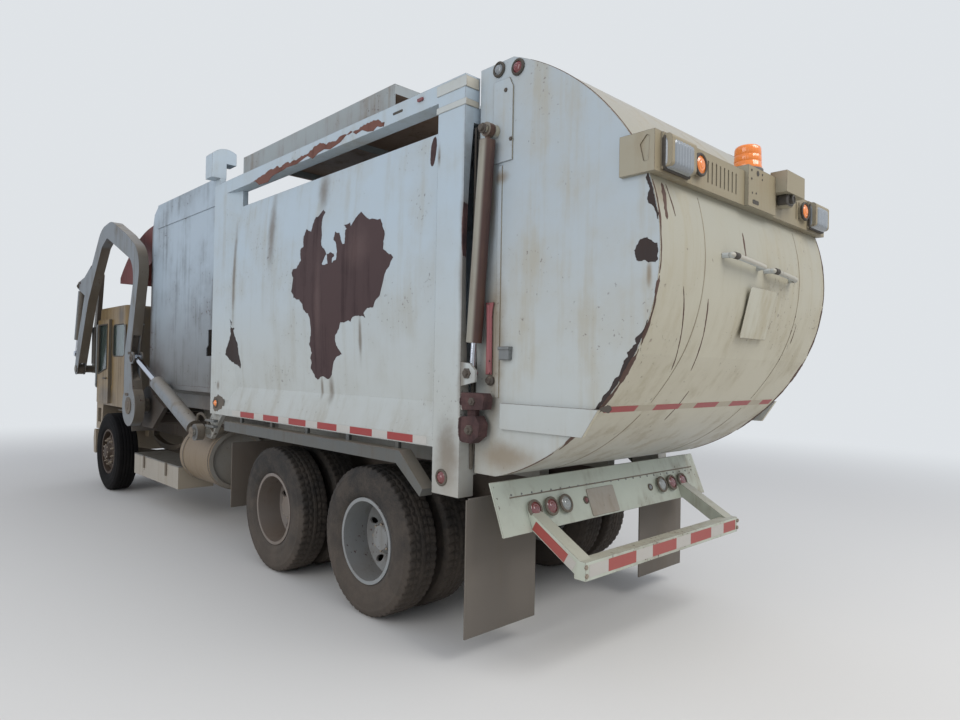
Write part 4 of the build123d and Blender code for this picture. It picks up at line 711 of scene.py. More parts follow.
# Work lamps at the light bar's ends: grey glass pressed with upright ribs, rounded off at its
# edges, in a rubber frame
ribs = 0.003 * np.abs(np.sin(np.linspace(0, 9 * pi, 46)))
for side, sign in SIDES:
    across, high = np.linspace(-0.119, 0.119, 46), np.linspace(-0.078, 0.078, 13)
    y, z = np.meshgrid(across, high, indexing="ij")
    drop = 0.03 * (np.abs(y) / 0.119) ** 8 + 0.03 * (np.abs(z) / 0.078) ** 8
    x = -0.0585 + drop - ribs[:, None] * (drop < 0.01)
    face = np.stack([x, y, z], axis=-1).reshape(-1, 3)
    rim = np.concatenate([np.arange(0, 13), 13 * np.arange(1, 46) + 12,
                          13 * 45 + np.arange(11, -1, -1), 13 * np.arange(44, 0, -1)])
    behind = face[rim] * (0, 1, 1) + (0.004, 0, 0)
    points = np.concatenate([face, behind])
    base = np.arange(len(rim)) + len(face)
    faces = grid_faces(46, 13)[:, ::-1].tolist()
    faces += np.stack([rim, np.roll(rim, -1), np.roll(base, -1), base], axis=1).tolist()
    faces.append(base.tolist())
    fit(f"work_lamp_{side}", [(points + (at(-2.19), sign * 0.9075, 2.787),
                               [face[::-1] for face in faces])], work_lens,
        "tailgate", sharp=50)
    frame_shape = slab(rounded(0.128, 0.086, 0.02), 0.020, 0.004)
    fit(f"work_lamp_frame_{side}", [stand(frame_shape, (-2.191, sign * 0.9075, 2.787), BACK)],
        gasket, "tailgate")

# Beacon: a cap moulded of fluted amber plastic, clipped to a grey foot. In its box are small
# holes and a cable slot, and a small camera hangs beside it
FOOT_EDGE = [(0, 0), (0, 0.088), (0.014, 0.088), (0.018, 0.084), (0.018, 0)]
LENS_TUBE = [(0, 0), (0, 0.024), (0.020, 0.026), (0.022, 0.020), (0.016, 0.018), (0.016, 0)]
HOLES = [(0.10, 2.90, 0.007), (0.02, 2.895, 0.016), (-0.04, 2.90, 0.007), (-0.04, 2.87, 0.006),
         (0.10, 2.85, 0.007), (0.09, 2.77, 0.006), (0.04, 2.775, 0.006), (0.06, 2.73, 0.006)]
angle = np.linspace(0, 2 * pi, 96, endpoint=False)
beacon_rows = [(0.0, 0.0), (0.0, 0.079), (0.010, 0.081), (0.018, 0.079), (0.040, 0.0778),
               (0.043, 0.0755), (0.046, 0.0775), (0.080, 0.0765), (0.083, 0.074), (0.086, 0.076),
               (0.122, 0.0745), (0.133, 0.071), (0.140, 0.062), (0.141, 0.0)]
points, faces = lathe(beacon_rows, 96)
flute = 1 + 0.012 * np.cos(24 * np.arctan2(points[:, 2], points[:, 1]))
points[:, 1:] *= np.where((points[:, 0] > 0.02) & (points[:, 0] < 0.13), flute, 1)[:, None]
fit("beacon_cap", [stand((points, faces), (-2.125, -0.035, 2.943), (0, 0, 1), (1, 0, 0))],
    amber_lens, "tailgate", sharp=60)
fit("beacon_foot", [turned(FOOT_EDGE, 40, (-2.125, -0.035, 2.926), (0, 0, 1), (1, 0, 0))],
    grey_trim, "tailgate")
holes = [turned([(0, 0), (0, r), (0.0015, r), (0.0015, 0)], 14, (-2.2125, y, z), BACK)
         for y, z, r in HOLES]
slot = plate((0.040, 0.012, 0.008), 0.002, 0.0005, (-2.2115, 0.045, 2.722), BACK)
fit("beacon_box_holes", holes + [slot], gasket, "tailgate")
fit("rear_camera", [plate((0.05, 0.034, 0.015), 0.07, 0.008, (-2.19, -0.34, 2.80), BACK),
                    turned(LENS_TUBE, 24, (-2.258, -0.34, 2.80), BACK)],
    black_plastic, "tailgate")

# Reflective tape: thin self-adhesive plastic strips in red and white runs, pressed on along the
# edges of the body, the tailgate and the lamp panel
red_tape = plain("red tape", (0.31, 0.016, 0.018), 0.35, speckle=0.06, size=25.0)
white_tape = plain("white tape", (0.50, 0.49, 0.46), 0.35, speckle=0.12, size=25.0)
cream_tape = plain("cream tape", (0.42, 0.37, 0.27), 0.4, speckle=0.15, size=25.0)
RED_RUN, WHITE_RUN, TAPE_WIDE, TAPE_THICK = 0.28, 0.18, 0.050, 0.0012


def tape(name, path, out, across, body, start_red=True, wide=TAPE_WIDE, thick=TAPE_THICK,
         pale=white_tape):
    """A strip laid along a path of (station, y, z) points, cut in red and white runs. It is a
    thin box of rings: across half its width each way, and out by its thickness."""
    path = np.array(path, float)
    gone = np.concatenate([[0], np.cumsum(np.linalg.norm(np.diff(path, axis=0), axis=1))])
    cuts, red = [0.0], start_red
    while cuts[-1] < gone[-1] - 0.02:
        cuts.append(min(cuts[-1] + (RED_RUN if red else WHITE_RUN), gone[-1]))
        red = not red
    out, across = np.array(out, float), np.array(across, float)
    runs = {True: [], False: []}
    for k, (a, b) in enumerate(zip(cuts, cuts[1:])):
        t = np.linspace(a, b, max(2, int((b - a) / 0.04)))
        mid = np.stack([np.interp(t, gone, path[:, i]) for i in range(3)], axis=1)
        normal = np.stack([np.interp(t, gone, np.broadcast_to(out, path.shape)[:, i])
                           for i in range(3)], axis=1)
        high = np.stack([np.interp(t, gone, np.broadcast_to(across, path.shape)[:, i])
                         for i in range(3)], axis=1)
        corners = [mid + high * (u * wide / 2) + normal * w for u, w in
                   ((1, -0.0005), (1, thick), (-1, thick), (-1, -0.0005))]
        points = np.stack(corners, axis=1).reshape(-1, 3) + (STATION_ZERO, 0, 0)
        index = np.arange(len(points)).reshape(-1, 4)
        ahead = mid[1] - mid[0]
        faces = shells(index) + [tuple(index[0][::-1].tolist()), tuple(index[-1].tolist())]
        if np.dot(np.cross(high[0], normal[0]), ahead) < 0:
            faces = [face[::-1] for face in faces]
        runs[start_red == (k % 2 == 0)].append((points, faces))
    for is_red, shapes in runs.items():
        if shapes:
            fit(f"{name}_{'red' if is_red else 'white'}", shapes,
                red_tape if is_red else pale, body)


def round_through(a, b, c):
    """Centre and radius of the circle through three (station, z) points."""
    m = np.array([(b[0] - a[0], b[1] - a[1]), (c[0] - a[0], c[1] - a[1])], float)
    k = (np.array([b, c], float) ** 2).sum(1) - (np.array(a, float) ** 2).sum()
    centre = np.linalg.solve(2 * m, k)
    return centre[0], centre[1], float(np.hypot(*(centre - a)))


GATE_ARCS = [round_through((-1.225, 3.555), (-1.720, 3.255), (-2.075, 2.840)),
             round_through((-2.075, 2.840), (-2.208, 2.330), (-2.080, 1.815)),
             round_through((-2.080, 1.815), (-1.700, 1.375), (-1.130, 1.095))]


def gate_back(z):
    """Station of the tailgate's back and its outward normal (x, 0, z) at a height: one of three
    arcs, x = cx - sqrt(r^2 - (z - cz)^2)."""
    cx, cz, r = GATE_ARCS[0 if z > 2.84 else 1 if z > 1.815 else 2]
    x = cx - np.sqrt(r * r - (z - cz) ** 2)
    return x, np.array(((x - cx) / r, 0, (z - cz) / r))


for side, sign in SIDES:
    tape(f"sill_tape_{side}", [(2.28, sign * 1.170, 1.268), (-0.62, sign * 1.170, 1.268)],
         (0, sign, 0), (0, 0, 1), "chassis", start_red=False)
    tape(f"strut_tape_{side}", [(-1.30, sign * 0.900, 0.815), (-1.60, sign * 0.900, 0.640)],
         (0, sign, 0), (-0.50, 0, 0.86), "chassis", wide=0.060)
tape("underride_tape", [(-1.680, 0.87, 0.628), (-1.680, -0.87, 0.628)], BACK, (0, 0, 1),
     "chassis", start_red=False, wide=0.07)
belt_x, belt_out = gate_back(1.528)
tape("gate_tape", [(belt_x, 1.0, 1.528), (belt_x, -1.0, 1.528)], belt_out,
     np.cross(belt_out, (0, 1, 0)), "tailgate", wide=0.045, pale=cream_tape)

# Seams and scars of the tailgate: weld beads and cracks that run down the back sheet, rusty, and
# the ragged lap where the back sheet meets the side sheets
seam_rust = paint("seam rust", (0.10, 0.055, 0.04), (0.05, 0.03, 0.025),
                  (0.16, 0.10, 0.06), gloss=0.85, specks=4.0, edges=0.0)
cream_weld = paint("painted weld", (0.36, 0.32, 0.23), (0.17, 0.12, 0.07), DUST,
                   specks=3.0)


def down_back(y, top, low, wide, rise, lean=0.0, ragged=0.0, seed=1):
    """A bead down the curved back at y from z top to low: a ring of five points per step, its
    width changed by a fixed ripple where it is ragged."""
    z = np.linspace(top, low, max(6, int((top - low) / 0.012)))
    share = np.linspace(0, 1, len(z))
    rng = np.random.default_rng(seed)
    ripple = np.convolve(rng.normal(0, 1, len(z) + 4), np.ones(5) / 5, "valid")
    half = wide / 2 * (1 + ragged * ripple) * np.clip(np.minimum(share, 1 - share) * 14, 0.1, 1)
    shift = y + lean * share + ragged * wide * 0.35 * ripple[::-1]
    rows = []
    for k, height in enumerate(z):
        x, normal = gate_back(height)
        ring = [(shift[k] + half[k] * u, rise * w) for u, w in
                ((1, -1), (0.8, 0.6), (0, 1), (-0.8, 0.6), (-1, -1))]
        rows.append([(at(x) + normal[0] * w, u, height + normal[2] * w) for u, w in ring])
    points = np.array(rows).reshape(-1, 3)
    index = np.arange(len(points)).reshape(-1, 5)
    return points, [face[::-1] for face in
                    shells(index) + [tuple(index[0][::-1].tolist()), tuple(index[-1].tolist())]]


CRACKS = [(0.965, 2.66, 2.47, 0.030, 0.002, 0.02, 0.8, 2),
          (0.93, 2.66, 2.50, 0.010, 0.002, -0.03, 0.5, 3),
          (0.815, 2.16, 1.74, 0.010, 0.0016, -0.17, 0.6, 4),
          (0.548, 2.12, 1.74, 0.012, 0.0016, -0.11, 0.6, 5),
          (0.16, 2.53, 2.38, 0.014, 0.0016, -0.015, 0.6, 6),
          (-0.122, 2.10, 1.99, 0.008, 0.0014, 0.0, 0.5, 7),
          (-0.67, 2.05, 1.93, 0.008, 0.0014, 0.0, 0.5, 8),
          (0.30, 1.62, 1.44, 0.008, 0.0014, -0.02, 0.5, 9)]
fit("gate_cracks", [down_back(*row) for row in CRACKS], seam_rust, "tailgate")
fit("gate_lap", [down_back(sign * 1.048, top, low, wide, 0.003, 0.0, 0.9, seed)
                 for sign in (1, -1) for top, low, wide, seed in
                 ((3.50, 2.86, 0.008, 11), (2.66, 2.20, 0.012, 12), (2.19, 1.86, 0.014, 13),
                  (1.84, 1.30, 0.026, 14), (1.28, 1.12, 0.014, 15))],
    seam_rust, "tailgate")
fit("gate_welds", [down_back(y, top, low, 0.010, 0.0022, 0.0, 0.1, 20)
                   for y in (0.62, -0.62) for top, low in ((2.65, 1.56), (1.49, 1.12))],
    cream_weld, "tailgate")

# Repair plate: a blank square of sheet steel, painted, welded over the middle of the back
plate_paint = paint("plate paint", (0.47, 0.45, 0.36), CREAM, DUST, specks=0.2)
plate_x, plate_out = gate_back(2.08)
fit("repair_plate", [plate((0.175, 0.150, 0.012), 0.003, 0.001, (plate_x - 0.012, -0.055, 2.08),
                           plate_out)], plate_paint, "tailgate")

# Rust patches: where the paint has flaked off the sheet, and the tailgate's torn edge. Each is
# drawn by its outline, roughened between the points, and lies on the sheet as a thin scab


def flake(name, outline, lay, sign, material, body, rise=0.001, rough=0.10, seed=5):
    """A scab with a torn outline of (station, z) points. Each edge is halved three times, its
    middle moved across by a share of its length; the inside is filled with triangles on the
    surface y = lay(station, z), and its rim turns down into the sheet."""
    ring, rng = np.array(outline, float), np.random.default_rng(seed)
    for _ in range(3):
        ahead = np.roll(ring, -1, axis=0) - ring
        middle = ring + ahead / 2 + ahead[:, ::-1] * (1, -1) * rng.normal(0, rough, (len(ring), 1))
        ring = np.stack([ring, middle], axis=1).reshape(-1, 2)
    low, high = ring.min(0), ring.max(0)
    x, z = np.meshgrid(np.arange(low[0], high[0], 0.04), np.arange(low[1], high[1], 0.04))
    seeds = np.column_stack([x.ravel(), z.ravel()])
    points, _, faces, *_ = delaunay_2d_cdt([Vector(p) for p in np.concatenate([ring, seeds])], [],
                                           [list(range(len(ring)))], 1, 1e-6)
    flat = np.array([tuple(p) for p in points])
    top = np.column_stack([flat[:, 0] + STATION_ZERO, sign * (lay(flat[:, 0], flat[:, 1]) + rise),
                           flat[:, 1]])
    faces = [tuple(f) for f in faces]
    once = {edge for f in faces for edge in zip(f, f[1:] + f[:1])}
    rims = [(a, b) for a, b in once if (b, a) not in once]
    under = top - (0, sign * (rise + 0.001), 0)
    faces += [tuple(i + len(top) for i in face[::-1]) for face in faces]
    faces += [(b, a, a + len(top), b + len(top)) for a, b in rims]
    if sign > 0:
        faces = [f[::-1] for f in faces]
    fit(name, [(np.concatenate([top, under]), faces)], material, body)


bare_sheet = paint("bare sheet", (0.046, 0.019, 0.018), (0.030, 0.013, 0.014),
                   (0.08, 0.045, 0.038), gloss=0.62, streaks=1.0, specks=0.0, edges=0.0, lows=0.0,
                   shadow=[(0.80, 1.1, 2.2, 0.07, 0.3, 0.6), (0.25, 1.1, 2.6, 0.22, 0.3, 0.22)],
                   soiled=(0.085, 0.048, 0.044))
WALL_PATCH = [
    (0.76, 2.96), (0.73, 2.94), (0.77, 2.88), (0.77, 2.81), (0.76, 2.68), (0.68, 2.60),
    (0.74, 2.53), (0.73, 2.52), (0.65, 2.52), (0.67, 2.60), (0.57, 2.59), (0.56, 2.57),
    (0.59, 2.56), (0.59, 2.52), (0.53, 2.54), (0.52, 2.60), (0.58, 2.70), (0.56, 2.76),
    (0.50, 2.74), (0.45, 2.65), (0.42, 2.65), (0.42, 2.75), (0.40, 2.76), (0.44, 2.79),
    (0.36, 2.80), (0.35, 2.77), (0.22, 2.86), (-0.03, 2.77), (-0.09, 2.66), (-0.08, 2.55),
    (-0.20, 2.48), (-0.05, 2.23), (0.01, 2.19), (0.03, 2.15), (0.10, 2.15), (0.15, 2.11),
    (0.13, 2.08), (0.22, 2.10), (0.31, 2.08), (0.32, 2.06), (0.36, 2.07), (0.46, 2.06),
    (0.51, 1.98), (0.54, 1.96), (0.54, 1.92), (0.45, 1.82), (0.53, 1.80), (0.65, 1.63),
    (0.82, 1.62), (0.86, 1.64), (0.92, 1.71), (0.90, 1.75), (0.92, 1.79), (0.89, 1.83),
    (0.93, 1.90), (0.90, 1.97), (0.92, 2.12), (0.94, 2.15), (0.98, 2.16), (1.03, 2.23),
    (1.08, 2.27), (1.18, 2.29), (1.18, 2.31), (1.22, 2.34), (1.19, 2.46), (1.22, 2.50),
    (1.20, 2.53), (1.14, 2.53), (1.07, 2.59), (1.09, 2.67), (1.08, 2.69), (1.04, 2.70),
    (1.05, 2.76), (1.01, 2.84), (0.93, 2.81), (0.87, 2.92)]
POST_PATCH = [(2.436, 2.166), (2.385, 2.138), (2.396, 2.111), (2.417, 2.090), (2.376, 2.075),
              (2.324, 2.074), (2.355, 2.057), (2.346, 2.026), (2.317, 1.990), (2.299, 1.954),
              (2.267, 1.910), (2.256, 1.849), (2.237, 1.796), (2.221, 1.752), (2.221, 1.709),
              (2.233, 1.691), (2.290, 1.726), (2.350, 1.734), (2.395, 1.750), (2.431, 1.778),
              (2.479, 1.822), (2.474, 1.862), (2.452, 1.912), (2.436, 1.956), (2.428, 1.992),
              (2.409, 2.027), (2.419, 2.050)]
SIDE_HOLE = [(-2.138, 2.380), (-2.163, 2.362), (-2.194, 2.345), (-2.198, 2.317), (-2.193, 2.283),
             (-2.198, 2.266), (-2.184, 2.254), (-2.145, 2.256), (-2.120, 2.270), (-2.090, 2.267),
             (-2.074, 2.288), (-2.065, 2.324), (-2.078, 2.348), (-2.093, 2.368), (-2.113, 2.377)]
SIDE_SPOT = [(-1.858, 1.537), (-1.880, 1.553), (-1.902, 1.548), (-1.924, 1.558), (-1.943, 1.550),
             (-1.946, 1.533), (-1.930, 1.516), (-1.897, 1.518), (-1.875, 1.524)]
RIM_TEARS = [
    [(2.70, 0.004), (2.67, 0.022), (2.63, 0.016), (2.60, 0.026), (2.565, 0.042), (2.545, 0.040),
     (2.52, 0.014), (2.46, 0.004)],
    [(1.98, 0.003), (1.92, 0.010), (1.885, 0.034), (1.865, 0.016), (1.845, 0.030), (1.822, 0.048),
     (1.80, 0.030), (1.755, 0.034), (1.72, 0.024), (1.675, 0.034), (1.63, 0.024), (1.60, 0.036),
     (1.56, 0.030), (1.53, 0.046), (1.505, 0.058), (1.475, 0.040), (1.45, 0.044), (1.425, 0.018),
     (1.39, 0.003)]]
POST_TEAR = [(2.500, 1.395), (2.560, 1.418), (2.640, 1.412), (2.710, 1.395), (2.745, 1.350),
             (2.730, 1.290), (2.690, 1.262), (2.640, 1.268), (2.590, 1.282), (2.530, 1.290),
             (2.480, 1.330), (2.470, 1.372)]
dark_rust = paint("dark rust", (0.030, 0.020, 0.018), (0.055, 0.035, 0.028),
                  (0.06, 0.04, 0.03), gloss=0.8, specks=3.0, edges=0.0, lows=0.0)
flake("wall_patch", WALL_PATCH, lambda x, z: 1.150 - (z - 2.380) ** 2 / 16.86, 1, bare_sheet,
      "chassis", rise=0.0015, rough=0.07)
flake("post_patch", POST_PATCH,
      lambda x, z: np.maximum(1.1457 + 0.351 * (x - 2.4306),
                              np.interp(z, (1.69, 1.75, 1.80, 1.85, 1.91, 1.95, 1.99, 2.03, 2.17),
                                        (1.1215, 1.1263, 1.1295, 1.1331, 1.1368, 1.1391, 1.1409,
                                         1.1425, 1.1475))), 1, dark_rust, "chassis",
      rise=0.002)
flake("side_hole", SIDE_HOLE, lambda x, z: 1.06 + 0 * x, 1, dark_rust, "tailgate")
flake("post_tear", POST_TEAR, lambda x, z: 1.170 + 0 * x, 1, grime, "chassis",
      rough=0.12)
flake("side_spot", SIDE_SPOT, lambda x, z: 1.06 + 0 * x, 1, grime, "tailgate")
for number, rows in enumerate(RIM_TEARS):
    z, wide = np.array(rows).T
    rim = np.array([gate_back(height)[0] for height in z]) + 0.004
    outline = np.concatenate([np.column_stack([rim, z]), np.column_stack([rim + wide, z])[::-1]])
    flake(f"rim_tear_{number}", outline, lambda x, z: 1.06 + 0 * x, 1, dark_rust, "tailgate",
          rough=0.08, seed=number)

# Grab handles on the back: two steel tubes, bent, welded on and painted, their left ends
# sleeved in black rubber
for number, (y0, y1, z0, z1) in enumerate(((0.43, 0.0, 2.365, 2.345), (-0.09, -0.46, 2.338, 2.318))):
    rest = gate_back(2.35)[0]
    bar = tube(smooth([(at(rest) + 0.004, y0, z0), (at(rest) - 0.030, y0 - 0.015, z0),
                       (at(rest) - 0.050, y0 - 0.05, z0 - 0.001),
                       (at(rest) - 0.050, y1 + 0.05, z1 + 0.001),
                       (at(rest) - 0.030, y1 + 0.012, z1), (at(rest) + 0.004, y1, z1)]), 0.016, 14)
    fit(f"grab_bar_{number}", [bar], off_white, "tailgate")
    cap = tube([(at(rest) - 0.051, y0 - 0.03, z0), (at(rest) - 0.051, y0 - 0.075, z0 - 0.001)],
               0.0185, 14)
    fit(f"grab_cap_{number}", [cap], gasket, "tailgate")

# Rear post: folded cap strips round its head, the hinge cover's bolts, the pins and nuts of the
# tailgate's cylinder, two hydraulic pipes clamped down its back, and a steel brace, once pink,
# that props the raised tailgate
prop_paint = paint("prop paint", (0.33, 0.10, 0.11), (0.20, 0.10, 0.08), DUST, gloss=0.6,
                   specks=2.5)
PROP_EDGE = [(-0.024, -0.21), (0.024, -0.21), (0.020, 0.16), (0.034, 0.22), (-0.034, 0.22),
             (-0.020, 0.16)]
PROP_BOLT = [(0, 0), (0, 0.030), (0.014, 0.030), (0.018, 0.024), (0.030, 0.020), (0.032, 0)]
COVER_BOLT = [(0, 0), (0, 0.013), (0.006, 0.013), (0.009, 0.009), (0.009, 0)]
PIN_CAP = [(0, 0), (0, 0.030), (0.008, 0.030), (0.010, 0.019), (0.026, 0.019), (0.028, 0)]
FOOT_NUTS = [
    (-0.985, 1.166, 1.700,
     [(0, 0), (0, 0.034), (0.010, 0.034), (0.012, 0.020), (0.026, 0.019), (0.028, 0)]),
    (-1.030, 1.163, 1.535,
     [(0, 0), (0, 0.026), (0.010, 0.026), (0.012, 0.016), (0.022, 0.015), (0.024, 0)]),
    (-1.010, 1.163, 1.365,
     [(0, 0), (0, 0.032), (0.014, 0.030), (0.016, 0.018), (0.030, 0.017), (0.032, 0)])]
PIPE_BACK, PIPE_OUT, PIPE_PITCH = at(-0.9385), 1.085, 0.026
HOSE_STOPS = [(0, 0, 1.86), (-0.006, 0.005, 1.78), (-0.010, -0.003, 1.70), (-0.002, -0.005, 1.60),
              (0, -0.001, 1.30)]
for side, sign in SIDES:
    face = (0, sign, 0)
    strips = []
    for z, high in ((3.470, 0.034), (3.345, 0.020)):
        strips.append(plate((0.140, high, 0.004), 0.006, 0.002, (-0.805, sign * 1.169, z), face))
        strips.append(plate((0.055, high, 0.004), 0.006, 0.002, (-0.9295, sign * 1.116, z), BACK))
    fit(f"post_caps_{side}", strips, off_white, "chassis")
    rod = tube([(at(-1.062), sign * 1.0745, 2.11), (at(-1.070), sign * 1.0745, 1.92),
                (at(-1.080), sign * 1.0745, 1.70)], 0.013, 8)
    brace = stand(slab(PROP_EDGE, 0.010, 0.002), (-1.072, sign * 1.0665, 1.905), face)
    fit(f"prop_{side}", [rod, brace], prop_paint, "tailgate")
    fit(f"prop_bolt_{side}", [turned(PROP_BOLT, 16, (-1.083, sign * 1.062, 1.66), face)],
        grime, "tailgate")
    # alarm: a small zinc box with a lid
    fit(f"alarm_{side}",
        [plate((0.040, 0.034, 0.008), 0.034, 0.005, (-1.21, sign * 1.0595, 1.815), face),
         plate((0.044, 0.010, 0.004), 0.040, 0.003, (-1.21, sign * 1.0595, 1.850), face)],
        galvanised, "tailgate")
    fit(f"cover_bolts_{side}", [turned(COVER_BOLT, 6, (x, sign * 1.0695, z), face)
                                for x, z in ((-1.174, 3.370), (-1.221, 3.072))],
        grime, "tailgate")
    fit(f"gate_pin_caps_{side}", [turned(PIN_CAP, 12, (-1.090, sign * 1.170, 3.140), face)],
        grime, "tailgate")
    fit(f"gate_foot_caps_{side}", [turned(nut, 6, (x, sign * y, z), face)
                                   for x, y, z, nut in FOOT_NUTS], grime, "chassis")
    pipes = []
    for y in (PIPE_OUT, PIPE_OUT - PIPE_PITCH):
        pipes.append(tube([(PIPE_BACK, sign * y, z) for z in (3.20, 2.6, 2.2, 1.85)], 0.007, 8))
        hose = [(PIPE_BACK + dx, sign * (y + dy), z) for dx, dy, z in HOSE_STOPS]
        pipes.append(tube(smooth(hose + [(PIPE_BACK, sign * 1.08, 1.12)]), 0.010, 8))
    fit(f"gate_pipes_{side}", pipes, gasket, "chassis")

# Top rail: rust has eaten the slide rail's side in tongues that climb from its lower edge. A small
# clearance lamp and a slot sit near its rear end
lip_rust = paint("lip rust", (0.15, 0.062, 0.045), (0.085, 0.035, 0.026), DUST, gloss=0.85,
                 specks=4.0, edges=0.0, lows=0.0)
RAIL_RUST = [(1.987, 3.402), (1.834, 3.416), (1.706, 3.420), (1.604, 3.444), (1.503, 3.442),
             (1.415, 3.424), (1.366, 3.436), (1.233, 3.427), (1.105, 3.434), (1.016, 3.438),
             (0.946, 3.440), (0.885, 3.453), (0.846, 3.477), (0.763, 3.482), (0.680, 3.450),
             (0.585, 3.453), (0.493, 3.459), (0.433, 3.466), (0.315, 3.454), (0.257, 3.456),
             (0.173, 3.467), (0.105, 3.473), (0.038, 3.475), (-0.042, 3.451), (-0.100, 3.427),
             (-0.090, 3.397), (0.035, 3.397), (0.615, 3.397), (1.307, 3.397), (1.986, 3.397)]
for side, sign in SIDES:
    face = (0, sign, 0)
    flake(f"rail_rust_{side}", RAIL_RUST, lambda x, z: 1.170 + 0 * x, sign, lip_rust, "chassis",
          rise=0.0015, rough=0.10, seed=31)
    fit(f"rail_lamp_{side}",
        [plate((0.030, 0.012, 0.010), 0.014, 0.004, (-0.50, sign * 1.169, 3.470), face)],
        red_lens, "chassis")
    fit(f"rail_slot_{side}",
        [plate((0.055, 0.009, 0.008), 0.002, 0.0005, (-0.25, sign * 1.1695, 3.455), face)],
        gasket, "chassis")

# Wall seams and step: a weld runs down between the wall sheet and the rear post, and two folded
# treads are welded on below the front post
TREAD_EDGE = [(-0.10, -0.012), (0.10, -0.012), (0.10, 0.012), (-0.10, 0.012)]
for side, sign in SIDES:
    seam = tube([(at(-0.668), sign * 1.1065, z) for z in (1.52, 2.4, 3.23)], 0.005, 6)
    fit(f"wall_seams_{side}", [seam], seam_rust, "chassis")
    fit(f"tread_bracket_{side}",
        [stand(slab(TREAD_EDGE, 0.05, 0.004), (2.70, sign * 1.169, z), (0, sign, 0))
         for z in (1.115, 1.170)], galvanised, "chassis")

# Arms: turned pin heads with keeper plates, and the hoses that run inside the leg to the fork
# cylinders, held in zinc clips. The lift cylinder has a cap on its base pin and a hose elbow
ARM_FACE, HOSE_OUT = 1.2895, 1.168
ARM_PINS = [(4.920, 1.786, 0.052), (5.000, 1.200, 0.105), (7.520, 2.860, 0.036)]
KEEPERS = [(4.995, 1.845), (5.075, 1.335), (7.455, 2.900)]
ARM_ROUTE = [(4.99, 1.42), (5.02, 1.75), (4.92, 2.20), (4.80, 2.80), (4.84, 3.02), (5.22, 3.22),
             (5.90, 3.48), (6.30, 3.46), (6.80, 2.95), (7.18, 2.62), (7.36, 2.70)]
CLIPS = [(4.937, 2.20), (4.818, 2.80), (5.24, 3.215), (5.912, 3.472), (6.81, 2.95)]
BASE_CAP = [(0, 0), (0, 0.058), (0.004, 0.058), (0.006, 0.050), (0.006, 0.020), (0.0085, 0.018),
            (0.009, 0)]
ELBOW = [(2.99, 1.222, 1.156), (2.955, 1.226, 1.215), (2.88, 1.215, 1.225), (2.84, 1.185, 1.17),
         (2.83, 1.15, 1.10), (2.82, 1.10, 1.02)]
for side, sign in SIDES:
    face = (0, sign, 0)
    heads = []
    for x, z, r in ARM_PINS:
        head = [(0, 0), (0, r), (0.010, r), (0.013, r - 0.006), (0.013, r * 0.45),
                (0.022, r * 0.4), (0.024, 0)]
        heads.append(turned(head, 28, (x, sign * ARM_FACE, z), face))
    for x, z in KEEPERS:
        heads.append(plate((0.055, 0.016, 0.006), 0.008, 0.002, (x, sign * ARM_FACE, z), face))
    fit(f"arm_pins_{side}", heads, grime, "lift_arms")
    lines = [tube(smooth([(at(x) + dx, sign * HOSE_OUT, z - dx * 0.5) for x, z in ARM_ROUTE], 6),
                  0.0085, 8) for dx in (0.0, 0.024)]
    fit(f"arm_hoses_{side}", lines, gasket, "lift_arms")
    clips = [plate((0.030, 0.010, 0.004), 0.022, 0.003, (x, sign * 1.1765, z), (0, -sign, 0))
             for x, z in CLIPS]
    fit(f"arm_clips_{side}", clips, galvanised, "lift_arms")
    fit(f"lift_base_caps_{side}", [turned(BASE_CAP, 24, (2.930, sign * 1.3035, 1.040), face)],
        grime, "chassis")
    elbow = tube(smooth([(at(x), sign * y, z) for x, y, z in ELBOW]), 0.014, 10)
    fit(f"lift_hose_{side}", [elbow], gasket, "lift_barrels")

